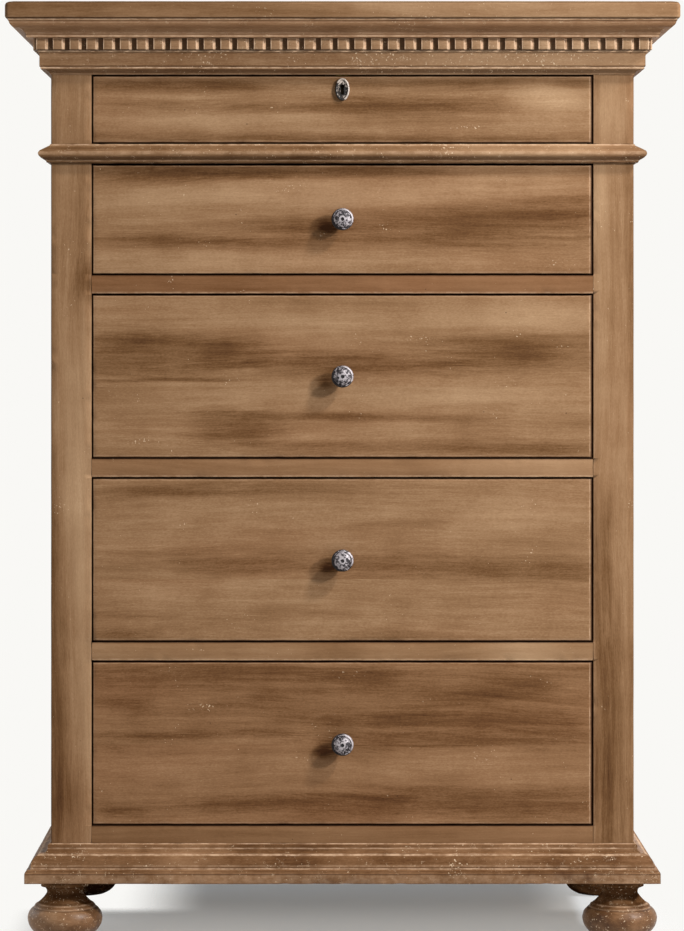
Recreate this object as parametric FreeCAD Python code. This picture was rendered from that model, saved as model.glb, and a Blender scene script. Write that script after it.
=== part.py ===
import FreeCAD, Part

import os

# A tall chest of five drawers on bun feet. Corner posts and rails make the case, with panelled sides.
# A plinth, a waist moulding, a frieze, a row of dentils and a crown run round the front and the sides.
# Millimetres. X runs to the right of the front, -Y is the front, +Z is up.
# The origin is on the floor, under the middle of the top board.

V = FreeCAD.Vector

# Case
carcass_width = 842.0
carcass_depth = 446.5
post_width = 59.0
post_depth = 66.0

# Levels, from the floor up
foot_height = 82.5
bottom_board_thickness = 18.0
rail_bottom_height = 61.0
opening_5_height = 238.0
rail_4_5_height = 27.0
opening_4_height = 238.0
rail_3_4_height = 27.0
opening_3_height = 238.0
rail_2_3_height = 27.0
opening_2_height = 161.0
rail_waist_height = 28.5
opening_1_height = 100.0
frieze_height = 34.0
dentil_height = 17.0
crown_height = 25.5

# Top board
top_overhang = 61.5
top_thickness = 24.3
top_corner_radius = 9.0
top_upper_edge_radius = 5.5
top_lower_edge_radius = 3.0

# Front rails
rail_depth = 45.0
tenon_length = 15.0
tenon_thickness = 20.0
tenon_setback = 12.0
tenon_shoulder = 4.0

# Side frames
side_rail_thickness = 22.0
side_rail_margin = 44.0
side_middle_rail_height = 66.0
side_tenon_thickness = 10.0
side_tenon_length = 14.0
panel_recess = 8.0
panel_thickness = 10.0
panel_groove_depth = 10.0
panel_float = 1.0

# Back
back_panel_thickness = 6.0
back_rebate_width = 12.0
rear_rail_height = 60.0
rear_rail_thickness = 20.0
rear_tenon_thickness = 10.0
back_screw_radius = 1.8
back_screw_head_radius = 3.6
back_screw_head_height = 2.0
back_screw_length = 20.0
back_screw_edge = 60.0
back_screw_columns = 5

# Mouldings: the furthest that each stands out from the case, and its outline in shares of that
# projection and of its height, from the bottom of the case side. Four numbers are an arc.
plinth_height = 53.9
plinth_projection = 35.5
plinth_shares = [
    (0, 0),
    (1, 0),
    (1, 0.24),
    (0.957, 0.325, 0.85, 0.365),
    (0.76, 0.365),
    (0.653, 0.647, 0.394, 0.758),
    (0.31, 0.758),
    (0.18, 0.797, 0.127, 0.89),
    (0.127, 0.955),
    (0.04, 1),
    (0, 1),
]
waist_projection = 17.6
waist_shares = [
    (0, 0),
    (0.06, 0),
    (0.06, 0.05),
    (0.36, 0.05),
    (0.36, 0.17),
    (0.60, 0.21, 0.86, 0.33),
    (1.0, 0.50, 0.80, 0.684),
    (0.10, 0.93),
    (0.06, 1),
    (0, 1),
]
frieze_projection = 18.0
frieze_shares = [
    (0, 0),
    (0.05, 0),
    (0.263, 0.146, 0.778, 0.206),
    (0.778, 0.30),
    (0.861, 0.30),
    (0.861, 0.91),
    (1, 0.91),
    (1, 1),
    (0, 1),
]
crown_projection = 57.0
crown_shares = [
    (0, 0),
    (0.579, 0),
    (0.596, 0.157),
    (0.658, 0.408, 0.807, 0.51),
    (0.931, 0.61, 0.982, 0.851),
    (1, 0.851),
    (1, 1),
    (0, 1),
]

# Dentils
dentil_backing = 21.0
dentil_projection = 25.0
dentil_width = 14.5
dentil_pitch = 24.1
dentil_end_margin = 1.5
dentil_left_inset = 9.4
dentil_right_inset = 1.5

# Bun feet: the outline is in shares of the greatest radius and of the height
foot_radius = 54.4
foot_inset = 54.5
foot_shares = [
    (0, 0),
    (0.56, 0),
    (0.86, 0.10, 1, 0.315),
    (0.962, 0.42, 0.845, 0.508),
    (0.822, 0.513),
    (0.805, 0.546, 0.755, 0.574),
    (0.730, 0.580),
    (0.595, 0.661, 0.487, 0.757),
    (0.50, 0.82, 0.61, 0.87),
    (0.643, 0.875),
    (0.643, 1),
    (0, 1),
]
foot_bolt_radius = 4.0
foot_bolt_in_foot = 35.0
foot_bolt_in_post = 42.0

# Drawer boxes
drawer_side_gap = 1.2
drawer_top_gap = 1.8
drawer_bottom_gap = 1.2
drawer_running_gap = 0.3
drawer_front_thickness = 20.0
drawer_front_edge_radius = 1.2
drawer_rear_gap = 26.5
drawer_side_thickness = 12.0
drawer_side_drop = 6.0
drawer_back_thickness = 12.0
drawer_back_drop = 10.0
drawer_bottom_thickness = 6.0
drawer_bottom_lift = 8.0
drawer_groove_depth = 6.0
drawer_bottom_float = 0.5
dovetail_length = 14.0
dovetail_pitch = 42.0
dovetail_flare = 2.4
dovetail_share = 0.62

# Runners, guides, kickers and stops
runner_width = 24.0
runner_height = 24.0
guide_rise = 20.0
stub_length = 8.0
stub_inset = 6.0
stop_height = 5.0
stop_length = 40.0
stop_width = 14.0
stop_spread = 500.0

# Knobs: the outline is in shares of the radius and of the projection
knob_radius = 15.8
knob_projection = 26.0
knob_shares = [
    (0, 0),
    (0.60, 0),
    (0.60, 0.08),
    (0.43, 0.16, 0.41, 0.34),
    (0.50, 0.42),
    (0.94, 0.47, 1, 0.64),
    (0.97, 0.75, 0.86, 0.81),
    (0.82, 0.79),
    (0.563, 0.934, 0.16, 1),
    (0.09, 0.95),
    (0, 0.95),
]
knob_screw_radius = 2.0
knob_screw_in_knob = 14.0
knob_screw_head_radius = 4.5
knob_screw_head_height = 2.4

# Keyhole plate
plate_width = 20.6
plate_height = 32.6
plate_thickness = 3.2
plate_rim_width = 2.8
plate_dish_depth = 1.7
plate_below_edge = 19.5
keyhole_head_radius = 3.1
keyhole_height = 15.0
keyhole_slot_width = 3.8
keyhole_foot_width = 5.0

# Drawer lock
lock_width = 52.0
lock_height = 38.0
lock_thickness = 11.0
lock_wall = 2.0
lock_ear_width = 10.0
lock_clearance = 0.3
bolt_width = 20.0
bolt_height = 22.0
bolt_notch_width = 9.0
bolt_notch_height = 14.0
lock_screw_radius = 1.6
lock_screw_length = 10.0
lock_screw_head_radius = 3.0
lock_screw_head_height = 1.4
strike_width = 50.0
strike_depth = 16.0
strike_thickness = 2.0
strike_clearance = 1.0
strike_mortise_depth = 10.0

# Cutters and raw lengths of moulding run this far past what they cut
overrun = 120.0

# Places worked out from the sizes
half_width = carcass_width / 2
half_opening = half_width - post_width
total_depth = carcass_depth + top_overhang
y_face = top_overhang - total_depth / 2
y_back = total_depth / 2
y_inside = y_face + drawer_front_thickness
y_drawer_rear = y_back - drawer_rear_gap
y_post_front = y_face + post_depth
y_post_rear = y_back - post_depth
y_panel = y_back - back_panel_thickness
x_frame = half_width - side_rail_thickness
x_drawer = half_opening - drawer_side_gap

opening_heights = [opening_1_height, opening_2_height, opening_3_height, opening_4_height, opening_5_height]
rail_names = ["rail_waist", "rail_2_3", "rail_3_4", "rail_4_5", "rail_bottom_front"]
rail_heights = [rail_waist_height, rail_2_3_height, rail_3_4_height, rail_4_5_height, rail_bottom_height]

z_carcass = foot_height + bottom_board_thickness
z_level = z_carcass
opening_lows = [0, 0, 0, 0, 0]
for index in reversed(range(len(opening_heights))):
    opening_lows[index] = z_level + rail_heights[index]
    z_level = opening_lows[index] + opening_heights[index]
z_frieze = z_level
z_dentil = z_frieze + frieze_height
z_crown = z_dentil + dentil_height
z_top = z_crown + crown_height
z_waist = opening_lows[0] - rail_waist_height
z_plinth_top = foot_height + plinth_height
z_lock_top = z_frieze - drawer_top_gap
z_keyhole = z_lock_top - plate_below_edge


def block(x0, x1, y0, y1, z0, z1):
    return Part.makeBox(x1 - x0, y1 - y0, z1 - z0, V(x0, y0, z0))


def mirrored(shape):
    return shape.mirror(V(0, 0, 0), V(1, 0, 0))


def pair(shape):
    return [mirrored(shape), shape]


# A face from a list of moves: two numbers end a straight line, four are an arc through a point.
def outline(moves, place):
    corners = [place(*move[-2:]) for move in moves]
    edges = []
    for index, move in enumerate(moves):
        if len(move) == 4:
            edges.append(Part.Arc(corners[index - 1], place(*move[:2]), corners[index]).toShape())
        else:
            edges.append(Part.LineSegment(corners[index - 1], corners[index]).toShape())
    return Part.Face(Part.Wire(edges))


def prism(points, low, height):
    corners = [V(x, y, low) for x, y in points]
    return Part.Face(Part.makePolygon(corners + corners[:1])).extrude(V(0, 0, height))


def edges_where(shape, test):
    return [edge for edge in shape.Edges if test(edge.BoundBox)]


# Mouldings: three lengths, mitred where the front meets the sides
def moulding(shares, projection, low, height):
    def on_front(out, up):
        return V(-half_width - overrun, y_face - out * projection, low + up * height)

    def on_side(out, up):
        return V(half_width + out * projection, y_face - overrun, low + up * height)

    tip = (half_width + overrun, y_face - overrun)
    front_plan = [(-half_width, y_face), (half_width, y_face), tip, (-tip[0], tip[1])]
    side_plan = [(half_width, y_face), (half_width, y_back), (tip[0], y_back), tip]
    front = outline(shares, on_front).extrude(V(carcass_width + 2 * overrun, 0, 0))
    side = outline(shares, on_side).extrude(V(0, carcass_depth + overrun, 0))
    front = front.common(prism(front_plan, low, height)).Solids[0]
    side = side.common(prism(side_plan, low, height)).Solids[0]
    return [front] + pair(side)


def tooth_middles(low, high):
    count = round((high - low - dentil_width) / dentil_pitch)
    step = (high - low - dentil_width) / count
    return [low + dentil_width / 2 + index * step for index in range(count + 1)]


def dentil_front():
    end = half_width + dentil_backing
    y_gap = y_face - dentil_backing
    y_tooth = y_face - dentil_projection
    points = [(half_width, y_face), (-half_width, y_face), (-end, y_gap)]
    for middle in tooth_middles(dentil_end_margin - end, end - dentil_end_margin):
        left = middle - dentil_width / 2
        right = middle + dentil_width / 2
        points += [(left, y_gap), (left, y_tooth), (right, y_tooth), (right, y_gap)]
    points.append((end, y_gap))
    return prism(points, z_dentil, dentil_height)


def dentil_side(inset):
    x_gap = half_width + dentil_backing
    x_tooth = half_width + dentil_projection
    corner = y_face - dentil_backing
    points = [(half_width, y_back), (half_width, y_face), (x_gap, corner)]
    for middle in tooth_middles(corner + inset, y_back - dentil_end_margin):
        near = middle - dentil_width / 2
        far = middle + dentil_width / 2
        points += [(x_gap, near), (x_tooth, near), (x_tooth, far), (x_gap, far)]
    points.append((x_gap, y_back))
    return prism(points, z_dentil, dentil_height)


def top_board():
    x_edge = half_width + top_overhang
    y_edge = y_face - top_overhang
    z_upper = z_top + top_thickness
    board = block(-x_edge, x_edge, y_edge, y_back, z_top, z_upper)
    corners = edges_where(board, lambda box: box.ZLength > top_thickness / 2 and box.YMax < y_face)
    board = board.makeFillet(top_corner_radius, corners)
    board = board.makeFillet(top_upper_edge_radius, edges_where(board, lambda box: on_rim(box, z_upper)))
    return board.makeFillet(top_lower_edge_radius, edges_where(board, lambda box: on_rim(box, z_top)))


# The front and side edges of the top board at one height, without the back edge
def on_rim(box, z):
    return max(abs(box.ZMin - z), abs(box.ZMax - z)) < top_thickness / 100 and box.YMin < y_post_rear


# Front rails, with a tenon at each end
def front_rail(low, height):
    y_tenon = y_face + tenon_setback
    x_tenon = half_opening + tenon_length
    rail = block(-half_opening, half_opening, y_face, y_face + rail_depth, low, low + height)
    z_shoulders = (low + tenon_shoulder, low + height - tenon_shoulder)
    tenons = block(-x_tenon, x_tenon, y_tenon, y_tenon + tenon_thickness, *z_shoulders)
    return rail.fuse(tenons).removeSplitter()


def rear_rail(low):
    y_middle = y_panel - rear_rail_thickness / 2
    x_tenon = half_opening + tenon_length
    z_shoulders = (low + tenon_shoulder, low + rear_rail_height - tenon_shoulder)
    rail = block(-half_opening, half_opening, y_panel - rear_rail_thickness, y_panel, low, low + rear_rail_height)
    y_tenon = (y_middle - rear_tenon_thickness / 2, y_middle + rear_tenon_thickness / 2)
    return rail.fuse(block(-x_tenon, x_tenon, *y_tenon, *z_shoulders)).removeSplitter()


# Side frames: rails between the posts, then panels in grooves
def side_rail(low, high):
    x_middle = half_width - side_rail_thickness / 2
    x_tenon = (x_middle - side_tenon_thickness / 2, x_middle + side_tenon_thickness / 2)
    y_tenon = (y_post_front - side_tenon_length, y_post_rear + side_tenon_length)
    rail = block(x_frame, half_width, y_post_front, y_post_rear, low, high)
    tenons = block(*x_tenon, *y_tenon, low + panel_groove_depth, high - panel_groove_depth)
    return rail.fuse(tenons).removeSplitter()


def side_rail_spans():
    middle = opening_lows[2] - rail_3_4_height / 2
    return [
        (z_carcass, z_plinth_top + side_rail_margin),
        (middle - side_middle_rail_height / 2, middle + side_middle_rail_height / 2),
        (z_waist - side_rail_margin, z_top),
    ]


def side_panel(low, high, tongue):
    x_outer = half_width - panel_recess
    y_ends = (y_post_front - tongue, y_post_rear + tongue)
    return block(x_outer - panel_thickness, x_outer, *y_ends, low - tongue, high + tongue)


def side_panels(tongue):
    spans = side_rail_spans()
    return [side_panel(below[1], above[0], tongue) for below, above in zip(spans, spans[1:])]


# Runners with a guide beside the drawer, tenoned into the rail in front and the post behind.
# The kicker over the top drawer is the same piece with no guide.
def runner(top, rise):
    low = top - runner_height
    y_rail = y_face + rail_depth
    z_stub = (low + stub_inset, top - stub_inset)
    flat = block(half_opening - runner_width, half_opening, y_rail, y_panel - rear_rail_thickness, low, top)
    guide = block(half_opening, x_frame, y_post_front, y_post_rear, low, top + rise)
    x_stub = (half_opening - runner_width + stub_inset, half_opening - stub_inset)
    front_stub = block(*x_stub, y_rail - stub_length, y_rail, *z_stub)
    x_stub = (half_opening + stub_inset, x_frame - stub_inset)
    rear_stub = block(*x_stub, y_post_rear, y_post_rear + stub_length, *z_stub)
    return flat.fuse([guide, front_stub, rear_stub]).removeSplitter()


def runners():
    return [runner(low, guide_rise) for low in opening_lows] + [runner(z_frieze + runner_height, 0)]


def drawer_stops():
    y_stop = y_inside + drawer_running_gap
    stops = []
    for low in opening_lows:
        x_middle = stop_spread / 2
        x_ends = (x_middle - stop_length / 2, x_middle + stop_length / 2)
        stops += pair(block(*x_ends, y_stop, y_stop + stop_width, low, low + stop_height))
    return stops


# Back
def back_screws():
    screws = []
    reach = half_opening - back_screw_edge
    for z in (z_carcass + rear_rail_height / 2, z_top - rear_rail_height / 2):
        for column in range(back_screw_columns):
            x = reach * (2 * column / (back_screw_columns - 1) - 1)
            shank = Part.makeCylinder(back_screw_radius, back_screw_length, V(x, y_back, z), V(0, -1, 0))
            head_radii = (back_screw_head_radius, back_screw_radius)
            head = Part.makeCone(*head_radii, back_screw_head_height, V(x, y_back, z), V(0, -1, 0))
            screws.append(shank.fuse(head).removeSplitter())
    return screws


# Feet
def foot_places():
    x = half_width + plinth_projection - foot_inset
    y_front = y_face - plinth_projection + foot_inset
    y_rear = y_back - foot_inset
    return [(-x, y_front), (x, y_front), (-x, y_rear), (x, y_rear)]


def bun_foot(x, y):
    def place(out, up):
        return V(x + out * foot_radius, y, up * foot_height)

    return outline(foot_shares, place).revolve(V(x, y, 0), V(0, 0, 1), 360)


def foot_bolt(x, y):
    length = foot_bolt_in_foot + bottom_board_thickness + foot_bolt_in_post
    return Part.makeCylinder(foot_bolt_radius, length, V(x, y, foot_height - foot_bolt_in_foot))


# Drawers: sides dovetailed into the front and the back, and a bottom slid into grooves from behind
def drawer_span(index):
    low = opening_lows[index] + drawer_bottom_gap
    high = opening_lows[index] + opening_heights[index] - drawer_top_gap
    return low, high


def drawer_floor(index):
    return opening_lows[index] + drawer_running_gap + drawer_bottom_lift


def tails(y_root, y_tip, low, high):
    count = max(1, round((high - low) / dovetail_pitch))
    step = (high - low) / count
    shapes = []
    for number in range(count):
        middle = low + (2 * number + 1) * step / 2
        root = step * dovetail_share / 2
        tip = root + dovetail_flare
        points = [(y_root, middle - root), (y_root, middle + root), (y_tip, middle + tip), (y_tip, middle - tip)]
        corners = [V(x_drawer - drawer_side_thickness, y, z) for y, z in points]
        face = Part.Face(Part.makePolygon(corners + corners[:1]))
        shapes.append(face.extrude(V(drawer_side_thickness, 0, 0)))
    return shapes


def front_tails(index):
    low, high = drawer_span(index)
    return tails(y_inside, y_inside - dovetail_length, low, high - drawer_side_drop)


def drawer_bottom(index, slack):
    x_edge = x_drawer - drawer_side_thickness + drawer_groove_depth - drawer_bottom_float + slack
    y_front = y_inside - drawer_groove_depth + drawer_bottom_float - slack
    low = drawer_floor(index)
    return block(-x_edge, x_edge, y_front, y_drawer_rear, low, low + drawer_bottom_thickness)


def drawer_back(index):
    low = drawer_floor(index) + drawer_bottom_thickness
    high = drawer_span(index)[1] - drawer_back_drop
    y_front = y_drawer_rear - drawer_back_thickness
    back = block(-x_drawer, x_drawer, y_front, y_drawer_rear, low, high)
    right_tails = tails(y_front, y_drawer_rear, low, high)
    return back.cut(right_tails + [mirrored(tail) for tail in right_tails])


def drawer_side(index):
    low = opening_lows[index] + drawer_running_gap
    high = drawer_span(index)[1] - drawer_side_drop
    side = block(x_drawer - drawer_side_thickness, x_drawer, y_inside, y_drawer_rear, low, high)
    side = side.fuse(front_tails(index)).removeSplitter()
    return side.cut([drawer_back(index), drawer_bottom(index, drawer_bottom_float)]).Solids[0]


def drawer_front(index):
    low, high = drawer_span(index)
    front = block(-x_drawer, x_drawer, y_face, y_inside, low, high)
    face_edges = edges_where(front, lambda box: box.YMax < y_face + drawer_front_thickness / 2)
    front = front.makeFillet(drawer_front_edge_radius, face_edges)
    sockets = front_tails(index)
    sockets += [mirrored(socket) for socket in sockets]
    return front.cut(sockets + [drawer_bottom(index, drawer_bottom_float)])


# Knobs
def knob_height(index):
    low, high = drawer_span(index)
    return (low + high) / 2


def knob(index):
    z = knob_height(index)

    def place(out, forward):
        return V(out * knob_radius, y_face - forward * knob_projection, z)

    return outline(knob_shares, place).revolve(V(0, y_face, z), V(0, 1, 0), 360)


def knob_screw(index):
    z = knob_height(index)
    length = drawer_front_thickness + knob_screw_in_knob
    shank = Part.makeCylinder(knob_screw_radius, length, V(0, y_inside, z), V(0, -1, 0))
    head = Part.makeCylinder(knob_screw_head_radius, knob_screw_head_height, V(0, y_inside, z), V(0, 1, 0))
    return shank.fuse(head).removeSplitter()


# Keyhole plate, lock and strike plate
def oval(width, height, y_front, y_rear):
    disc = Part.makeCylinder(1, 1, V(0, 0, 0), V(0, 1, 0))
    matrix = FreeCAD.Matrix()
    matrix.scale(width / 2, y_rear - y_front, height / 2)
    matrix.move(V(0, y_front, z_keyhole))
    return disc.transformGeometry(matrix)


def keyhole(y_front, y_rear):
    z_head = z_keyhole + keyhole_height / 2 - keyhole_head_radius
    z_foot = z_keyhole - keyhole_height / 2
    head = Part.makeCylinder(keyhole_head_radius, y_rear - y_front, V(0, y_front, z_head), V(0, 1, 0))
    upper = keyhole_slot_width / 2
    lower = keyhole_foot_width / 2
    points = [(-upper, z_head), (upper, z_head), (lower, z_foot), (-lower, z_foot)]
    corners = [V(x, y_front, z) for x, z in points]
    slot = Part.Face(Part.makePolygon(corners + corners[:1])).extrude(V(0, y_rear - y_front, 0))
    return head.fuse(slot).removeSplitter()


def escutcheon():
    y_front = y_face - plate_thickness
    plate = oval(plate_width, plate_height, y_front, y_face)
    dish_sizes = (plate_width - 2 * plate_rim_width, plate_height - 2 * plate_rim_width)
    dish = oval(*dish_sizes, y_front - overrun, y_front + plate_dish_depth)
    return plate.cut([dish, keyhole(y_front - overrun, y_face + overrun)])


def lock_body():
    y_lock = y_inside - lock_thickness
    z_low = z_lock_top - lock_height
    half = lock_width / 2
    x_ear = half + lock_ear_width
    case = block(-half, half, y_lock, y_inside, z_low, z_lock_top)
    return case.fuse(block(-x_ear, x_ear, y_inside - lock_wall, y_inside, z_low, z_lock_top)).removeSplitter()


def lock_case():
    half = bolt_width / 2 + lock_clearance
    y_lock = y_inside - lock_thickness
    y_cavity = (y_lock + lock_wall, y_inside - lock_wall)
    z_cavity = (z_lock_top - lock_height + lock_wall, z_lock_top + overrun)
    cavity = block(-half, half, *y_cavity, *z_cavity)
    return lock_body().cut([cavity, keyhole(y_lock - overrun, y_lock + lock_wall)] + lock_screws())


def lock_bolt():
    half = bolt_width / 2
    y_ends = (y_inside - lock_thickness + lock_wall + lock_clearance, y_inside - lock_wall - lock_clearance)
    low = z_lock_top - bolt_height
    bolt = block(-half, half, *y_ends, low, z_lock_top)
    notch = bolt_notch_width / 2
    return bolt.cut(block(-notch, notch, *y_ends, low - overrun, low + bolt_notch_height))


def lock_screws():
    x = lock_width / 2 + lock_ear_width / 2
    screws = []
    for z in (z_lock_top - lock_height / 4, z_lock_top - 3 * lock_height / 4):
        shank = Part.makeCylinder(lock_screw_radius, lock_screw_length, V(x, y_inside, z), V(0, -1, 0))
        head_sizes = (lock_screw_head_radius, lock_screw_head_height)
        head = Part.makeCylinder(*head_sizes, V(x, y_inside, z), V(0, 1, 0))
        screws += pair(shank.fuse(head).removeSplitter())
    return screws


def strike_slot():
    half = bolt_width / 2 + strike_clearance
    y_ends = (y_inside - lock_thickness + lock_wall - strike_clearance, y_inside - lock_wall + strike_clearance)
    return block(-half, half, *y_ends, z_frieze - overrun, z_frieze + strike_mortise_depth)


def strike_seat():
    y_middle = y_inside - lock_thickness / 2
    y_ends = (y_middle - strike_depth / 2, y_middle + strike_depth / 2)
    return block(-strike_width / 2, strike_width / 2, *y_ends, z_frieze, z_frieze + strike_thickness)


os.makedirs("parts", exist_ok=True)


def save(name, solids):
    Part.makeCompound(solids).exportStep(os.path.join("parts", name + ".step"))
    state = "valid" if all(solid.isValid() for solid in solids) else "NOT VALID"
    volume = sum(solid.Volume for solid in solids)
    print(f"{name}: {len(solids)} solids, {volume:.0f} mm3, {state}")


feet = foot_places()
foot_bolts = [foot_bolt(x, y) for x, y in feet]
screws_in_back = back_screws()
right_runners = runners()
all_runners = right_runners + [mirrored(shape) for shape in right_runners]
side_rails = [side_rail(low, high) for low, high in side_rail_spans()]
panel_grooves = side_panels(panel_groove_depth)
front_rails = [front_rail(low - height, height) for low, height in zip(opening_lows, rail_heights)]
top_rail = front_rail(z_frieze, z_top - z_frieze)
rear_rails = [rear_rail(z_carcass), rear_rail(z_top - rear_rail_height)]
x_rebate = half_opening + back_rebate_width
back_panel = block(-x_rebate, x_rebate, y_panel, y_back, z_carcass, z_top)

post = block(half_opening, half_width, y_face, y_post_front, z_carcass, z_top)
post = post.cut(front_rails + [top_rail] + side_rails + panel_grooves + foot_bolts)
save("corner_posts_front", pair(post.Solids[0]))
post = block(half_opening, half_width, y_post_rear, y_back, z_carcass, z_top)
post = post.cut(rear_rails + side_rails + panel_grooves + foot_bolts + right_runners + [back_panel])
save("corner_posts_rear", pair(post.Solids[0]))

for name, rail in zip(rail_names, front_rails):
    save(name, [rail.cut(all_runners).Solids[0]])
save("rail_top_front", [top_rail.cut(all_runners + [strike_seat(), strike_slot()]).Solids[0]])
save("rear_rails", [rail.cut(screws_in_back).Solids[0] for rail in rear_rails])
grooved = [rail.cut(panel_grooves + foot_bolts).Solids[0] for rail in side_rails]
save("side_rails", grooved + [mirrored(rail) for rail in grooved])
panels = side_panels(panel_groove_depth - panel_float)
save("side_panels_right", panels)
save("side_panels_left", [mirrored(panel) for panel in panels])
save("drawer_runners_right", right_runners)
save("drawer_runners_left", [mirrored(shape) for shape in right_runners])
save("drawer_stops", drawer_stops())
save("back_panel", [back_panel.cut(screws_in_back).Solids[0]])
save("back_screws", screws_in_back)

save("top_board", [top_board()])
save("crown_moulding", moulding(crown_shares, crown_projection, z_crown, crown_height))
save("dentil_strips", [dentil_front(), mirrored(dentil_side(dentil_left_inset)), dentil_side(dentil_right_inset)])
save("frieze_moulding", moulding(frieze_shares, frieze_projection, z_frieze, frieze_height))
save("waist_moulding", moulding(waist_shares, waist_projection, z_waist, rail_waist_height))
save("plinth_moulding", moulding(plinth_shares, plinth_projection, foot_height, plinth_height))

board = block(-half_width, half_width, y_face, y_back, foot_height, z_carcass)
save("bottom_board", [board.cut(foot_bolts).Solids[0]])
save("bun_feet", [bun_foot(x, y).cut(foot_bolts).Solids[0] for x, y in feet])
save("foot_bolts", foot_bolts)
save("strike_plate", [strike_seat().cut(strike_slot()).Solids[0]])

lock_cuts = [lock_body(), keyhole(y_face - overrun, y_inside - lock_thickness)] + lock_screws()
for index in range(len(opening_heights)):
    prefix = f"drawer_{index + 1}_"
    front = drawer_front(index)
    if index == 0:
        front = front.cut(lock_cuts)
        save(prefix + "keyhole_plate", [escutcheon().Solids[0]])
        save(prefix + "lock_case", [lock_case().Solids[0]])
        save(prefix + "lock_screws", lock_screws())
        save("lock_bolt", [lock_bolt().Solids[0]])
    else:
        screw = knob_screw(index)
        front = front.cut(screw)
        save(prefix + "knob", [knob(index).cut(screw).Solids[0]])
        save(prefix + "knob_screw", [screw])
    save(prefix + "front", [front.Solids[0]])
    save(prefix + "sides", pair(drawer_side(index)))
    save(prefix + "back", [drawer_back(index).Solids[0]])
    save(prefix + "bottom", [drawer_bottom(index, 0)])
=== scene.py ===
import math

import bmesh
import bpy
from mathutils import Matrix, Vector


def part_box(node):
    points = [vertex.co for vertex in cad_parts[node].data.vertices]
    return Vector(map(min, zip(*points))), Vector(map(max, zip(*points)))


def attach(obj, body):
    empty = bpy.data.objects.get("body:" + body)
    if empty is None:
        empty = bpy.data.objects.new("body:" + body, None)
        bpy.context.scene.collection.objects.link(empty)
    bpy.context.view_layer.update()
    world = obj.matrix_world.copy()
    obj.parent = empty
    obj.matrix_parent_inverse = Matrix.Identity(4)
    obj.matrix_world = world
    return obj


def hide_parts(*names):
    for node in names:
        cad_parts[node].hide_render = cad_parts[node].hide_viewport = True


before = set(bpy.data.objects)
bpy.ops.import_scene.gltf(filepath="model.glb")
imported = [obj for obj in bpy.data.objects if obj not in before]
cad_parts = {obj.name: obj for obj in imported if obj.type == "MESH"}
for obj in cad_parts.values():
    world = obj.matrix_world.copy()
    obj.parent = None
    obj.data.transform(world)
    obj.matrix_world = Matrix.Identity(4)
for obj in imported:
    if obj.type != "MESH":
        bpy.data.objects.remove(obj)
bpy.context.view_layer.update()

# A tall chest of five drawers in antiqued brown wood, with pewter knobs, on bun feet.
# Metres. X runs to the right of the front, -Y is the front, Z is up.

tiny = 0.0001   # places nearer than this are the same

# Places that several pieces share
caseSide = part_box("corner_posts_front")[1].x
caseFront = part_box("corner_posts_front")[0].y
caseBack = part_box("back_panel")[1].y
postWidth = 0.059
postInner = caseSide - postWidth
drawerRecess = 0.0008   # the fronts lie this far behind the rails' faces
drawerNumbers = (1, 2, 3, 4, 5)
sides = (("left", -1), ("right", 1))


def middleOf(node):
    low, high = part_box(node)
    return (low + high) / 2


# Modelling by hand

modelling = {
    "weld": 0.00001,                    # vertices nearer than this become one
    "arrisAngle": math.radians(30),     # an edge sharper than this is an arris
    "smallestRing": 1.5,                # edges shorter than this many steps aren't cut
    "straightShare": 0.99,              # how much of an edge has to run along the axis
    "mostCuts": 100,
}


def nothingSelected():
    if bpy.context.mode != "OBJECT":
        bpy.ops.object.mode_set(mode="OBJECT")
    bpy.ops.object.select_all(action="DESELECT")


def selectAll():
    bpy.ops.mesh.select_all(action="SELECT")


def onlySelected(piece):
    nothingSelected()
    piece.select_set(True)
    bpy.context.view_layer.objects.active = piece


def editWhole(piece):
    onlySelected(piece)
    bpy.ops.object.mode_set(mode="EDIT")
    selectAll()


def takeUp(name):   # the new primitive's place goes into its mesh, then edit mode
    piece = bpy.context.object
    piece.name = piece.data.name = name
    bpy.ops.object.transform_apply(location=True, rotation=True, scale=True)
    bpy.ops.object.mode_set(mode="EDIT")
    bpy.ops.mesh.select_all(action="DESELECT")
    return piece


def startBlock(name, low, high):
    nothingSelected()
    low, high = Vector(low), Vector(high)
    bpy.ops.mesh.primitive_cube_add(size=1, location=(low + high) / 2, scale=high - low)
    return takeUp(name)


def drawOut(move):
    bpy.ops.mesh.extrude_region_move(TRANSFORM_OT_translate={"value": move})


def startOutline(name, corners):   # a vertex drawn on from corner to corner
    nothingSelected()
    bpy.ops.mesh.primitive_plane_add(size=0.01, location=corners[0])
    piece = takeUp(name)
    bpy.ops.mesh.select_mode(type="VERT")
    selectAll()
    bpy.ops.mesh.merge(type="CENTER")
    for last, here in zip(corners, corners[1:]):
        drawOut(here - last)
    selectAll()
    return piece


def pick(kind, wanted):   # kind is EDGE or FACE
    bpy.ops.mesh.select_mode(type=kind)
    bpy.ops.mesh.select_all(action="DESELECT")
    mesh = bmesh.from_edit_mesh(bpy.context.object.data)
    for part in mesh.edges if kind == "EDGE" else mesh.faces:
        if wanted(part):
            part.select_set(True)
    bmesh.update_edit_mesh(bpy.context.object.data)


def lies(edge, axis, *places):   # the whole edge lies at one of those places on the axis
    return any(all(abs(vertex.co[axis] - place) < tiny for vertex in edge.verts) for place in places)


def isArris(edge):
    return edge.calc_face_angle(0) > modelling["arrisAngle"]


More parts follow.
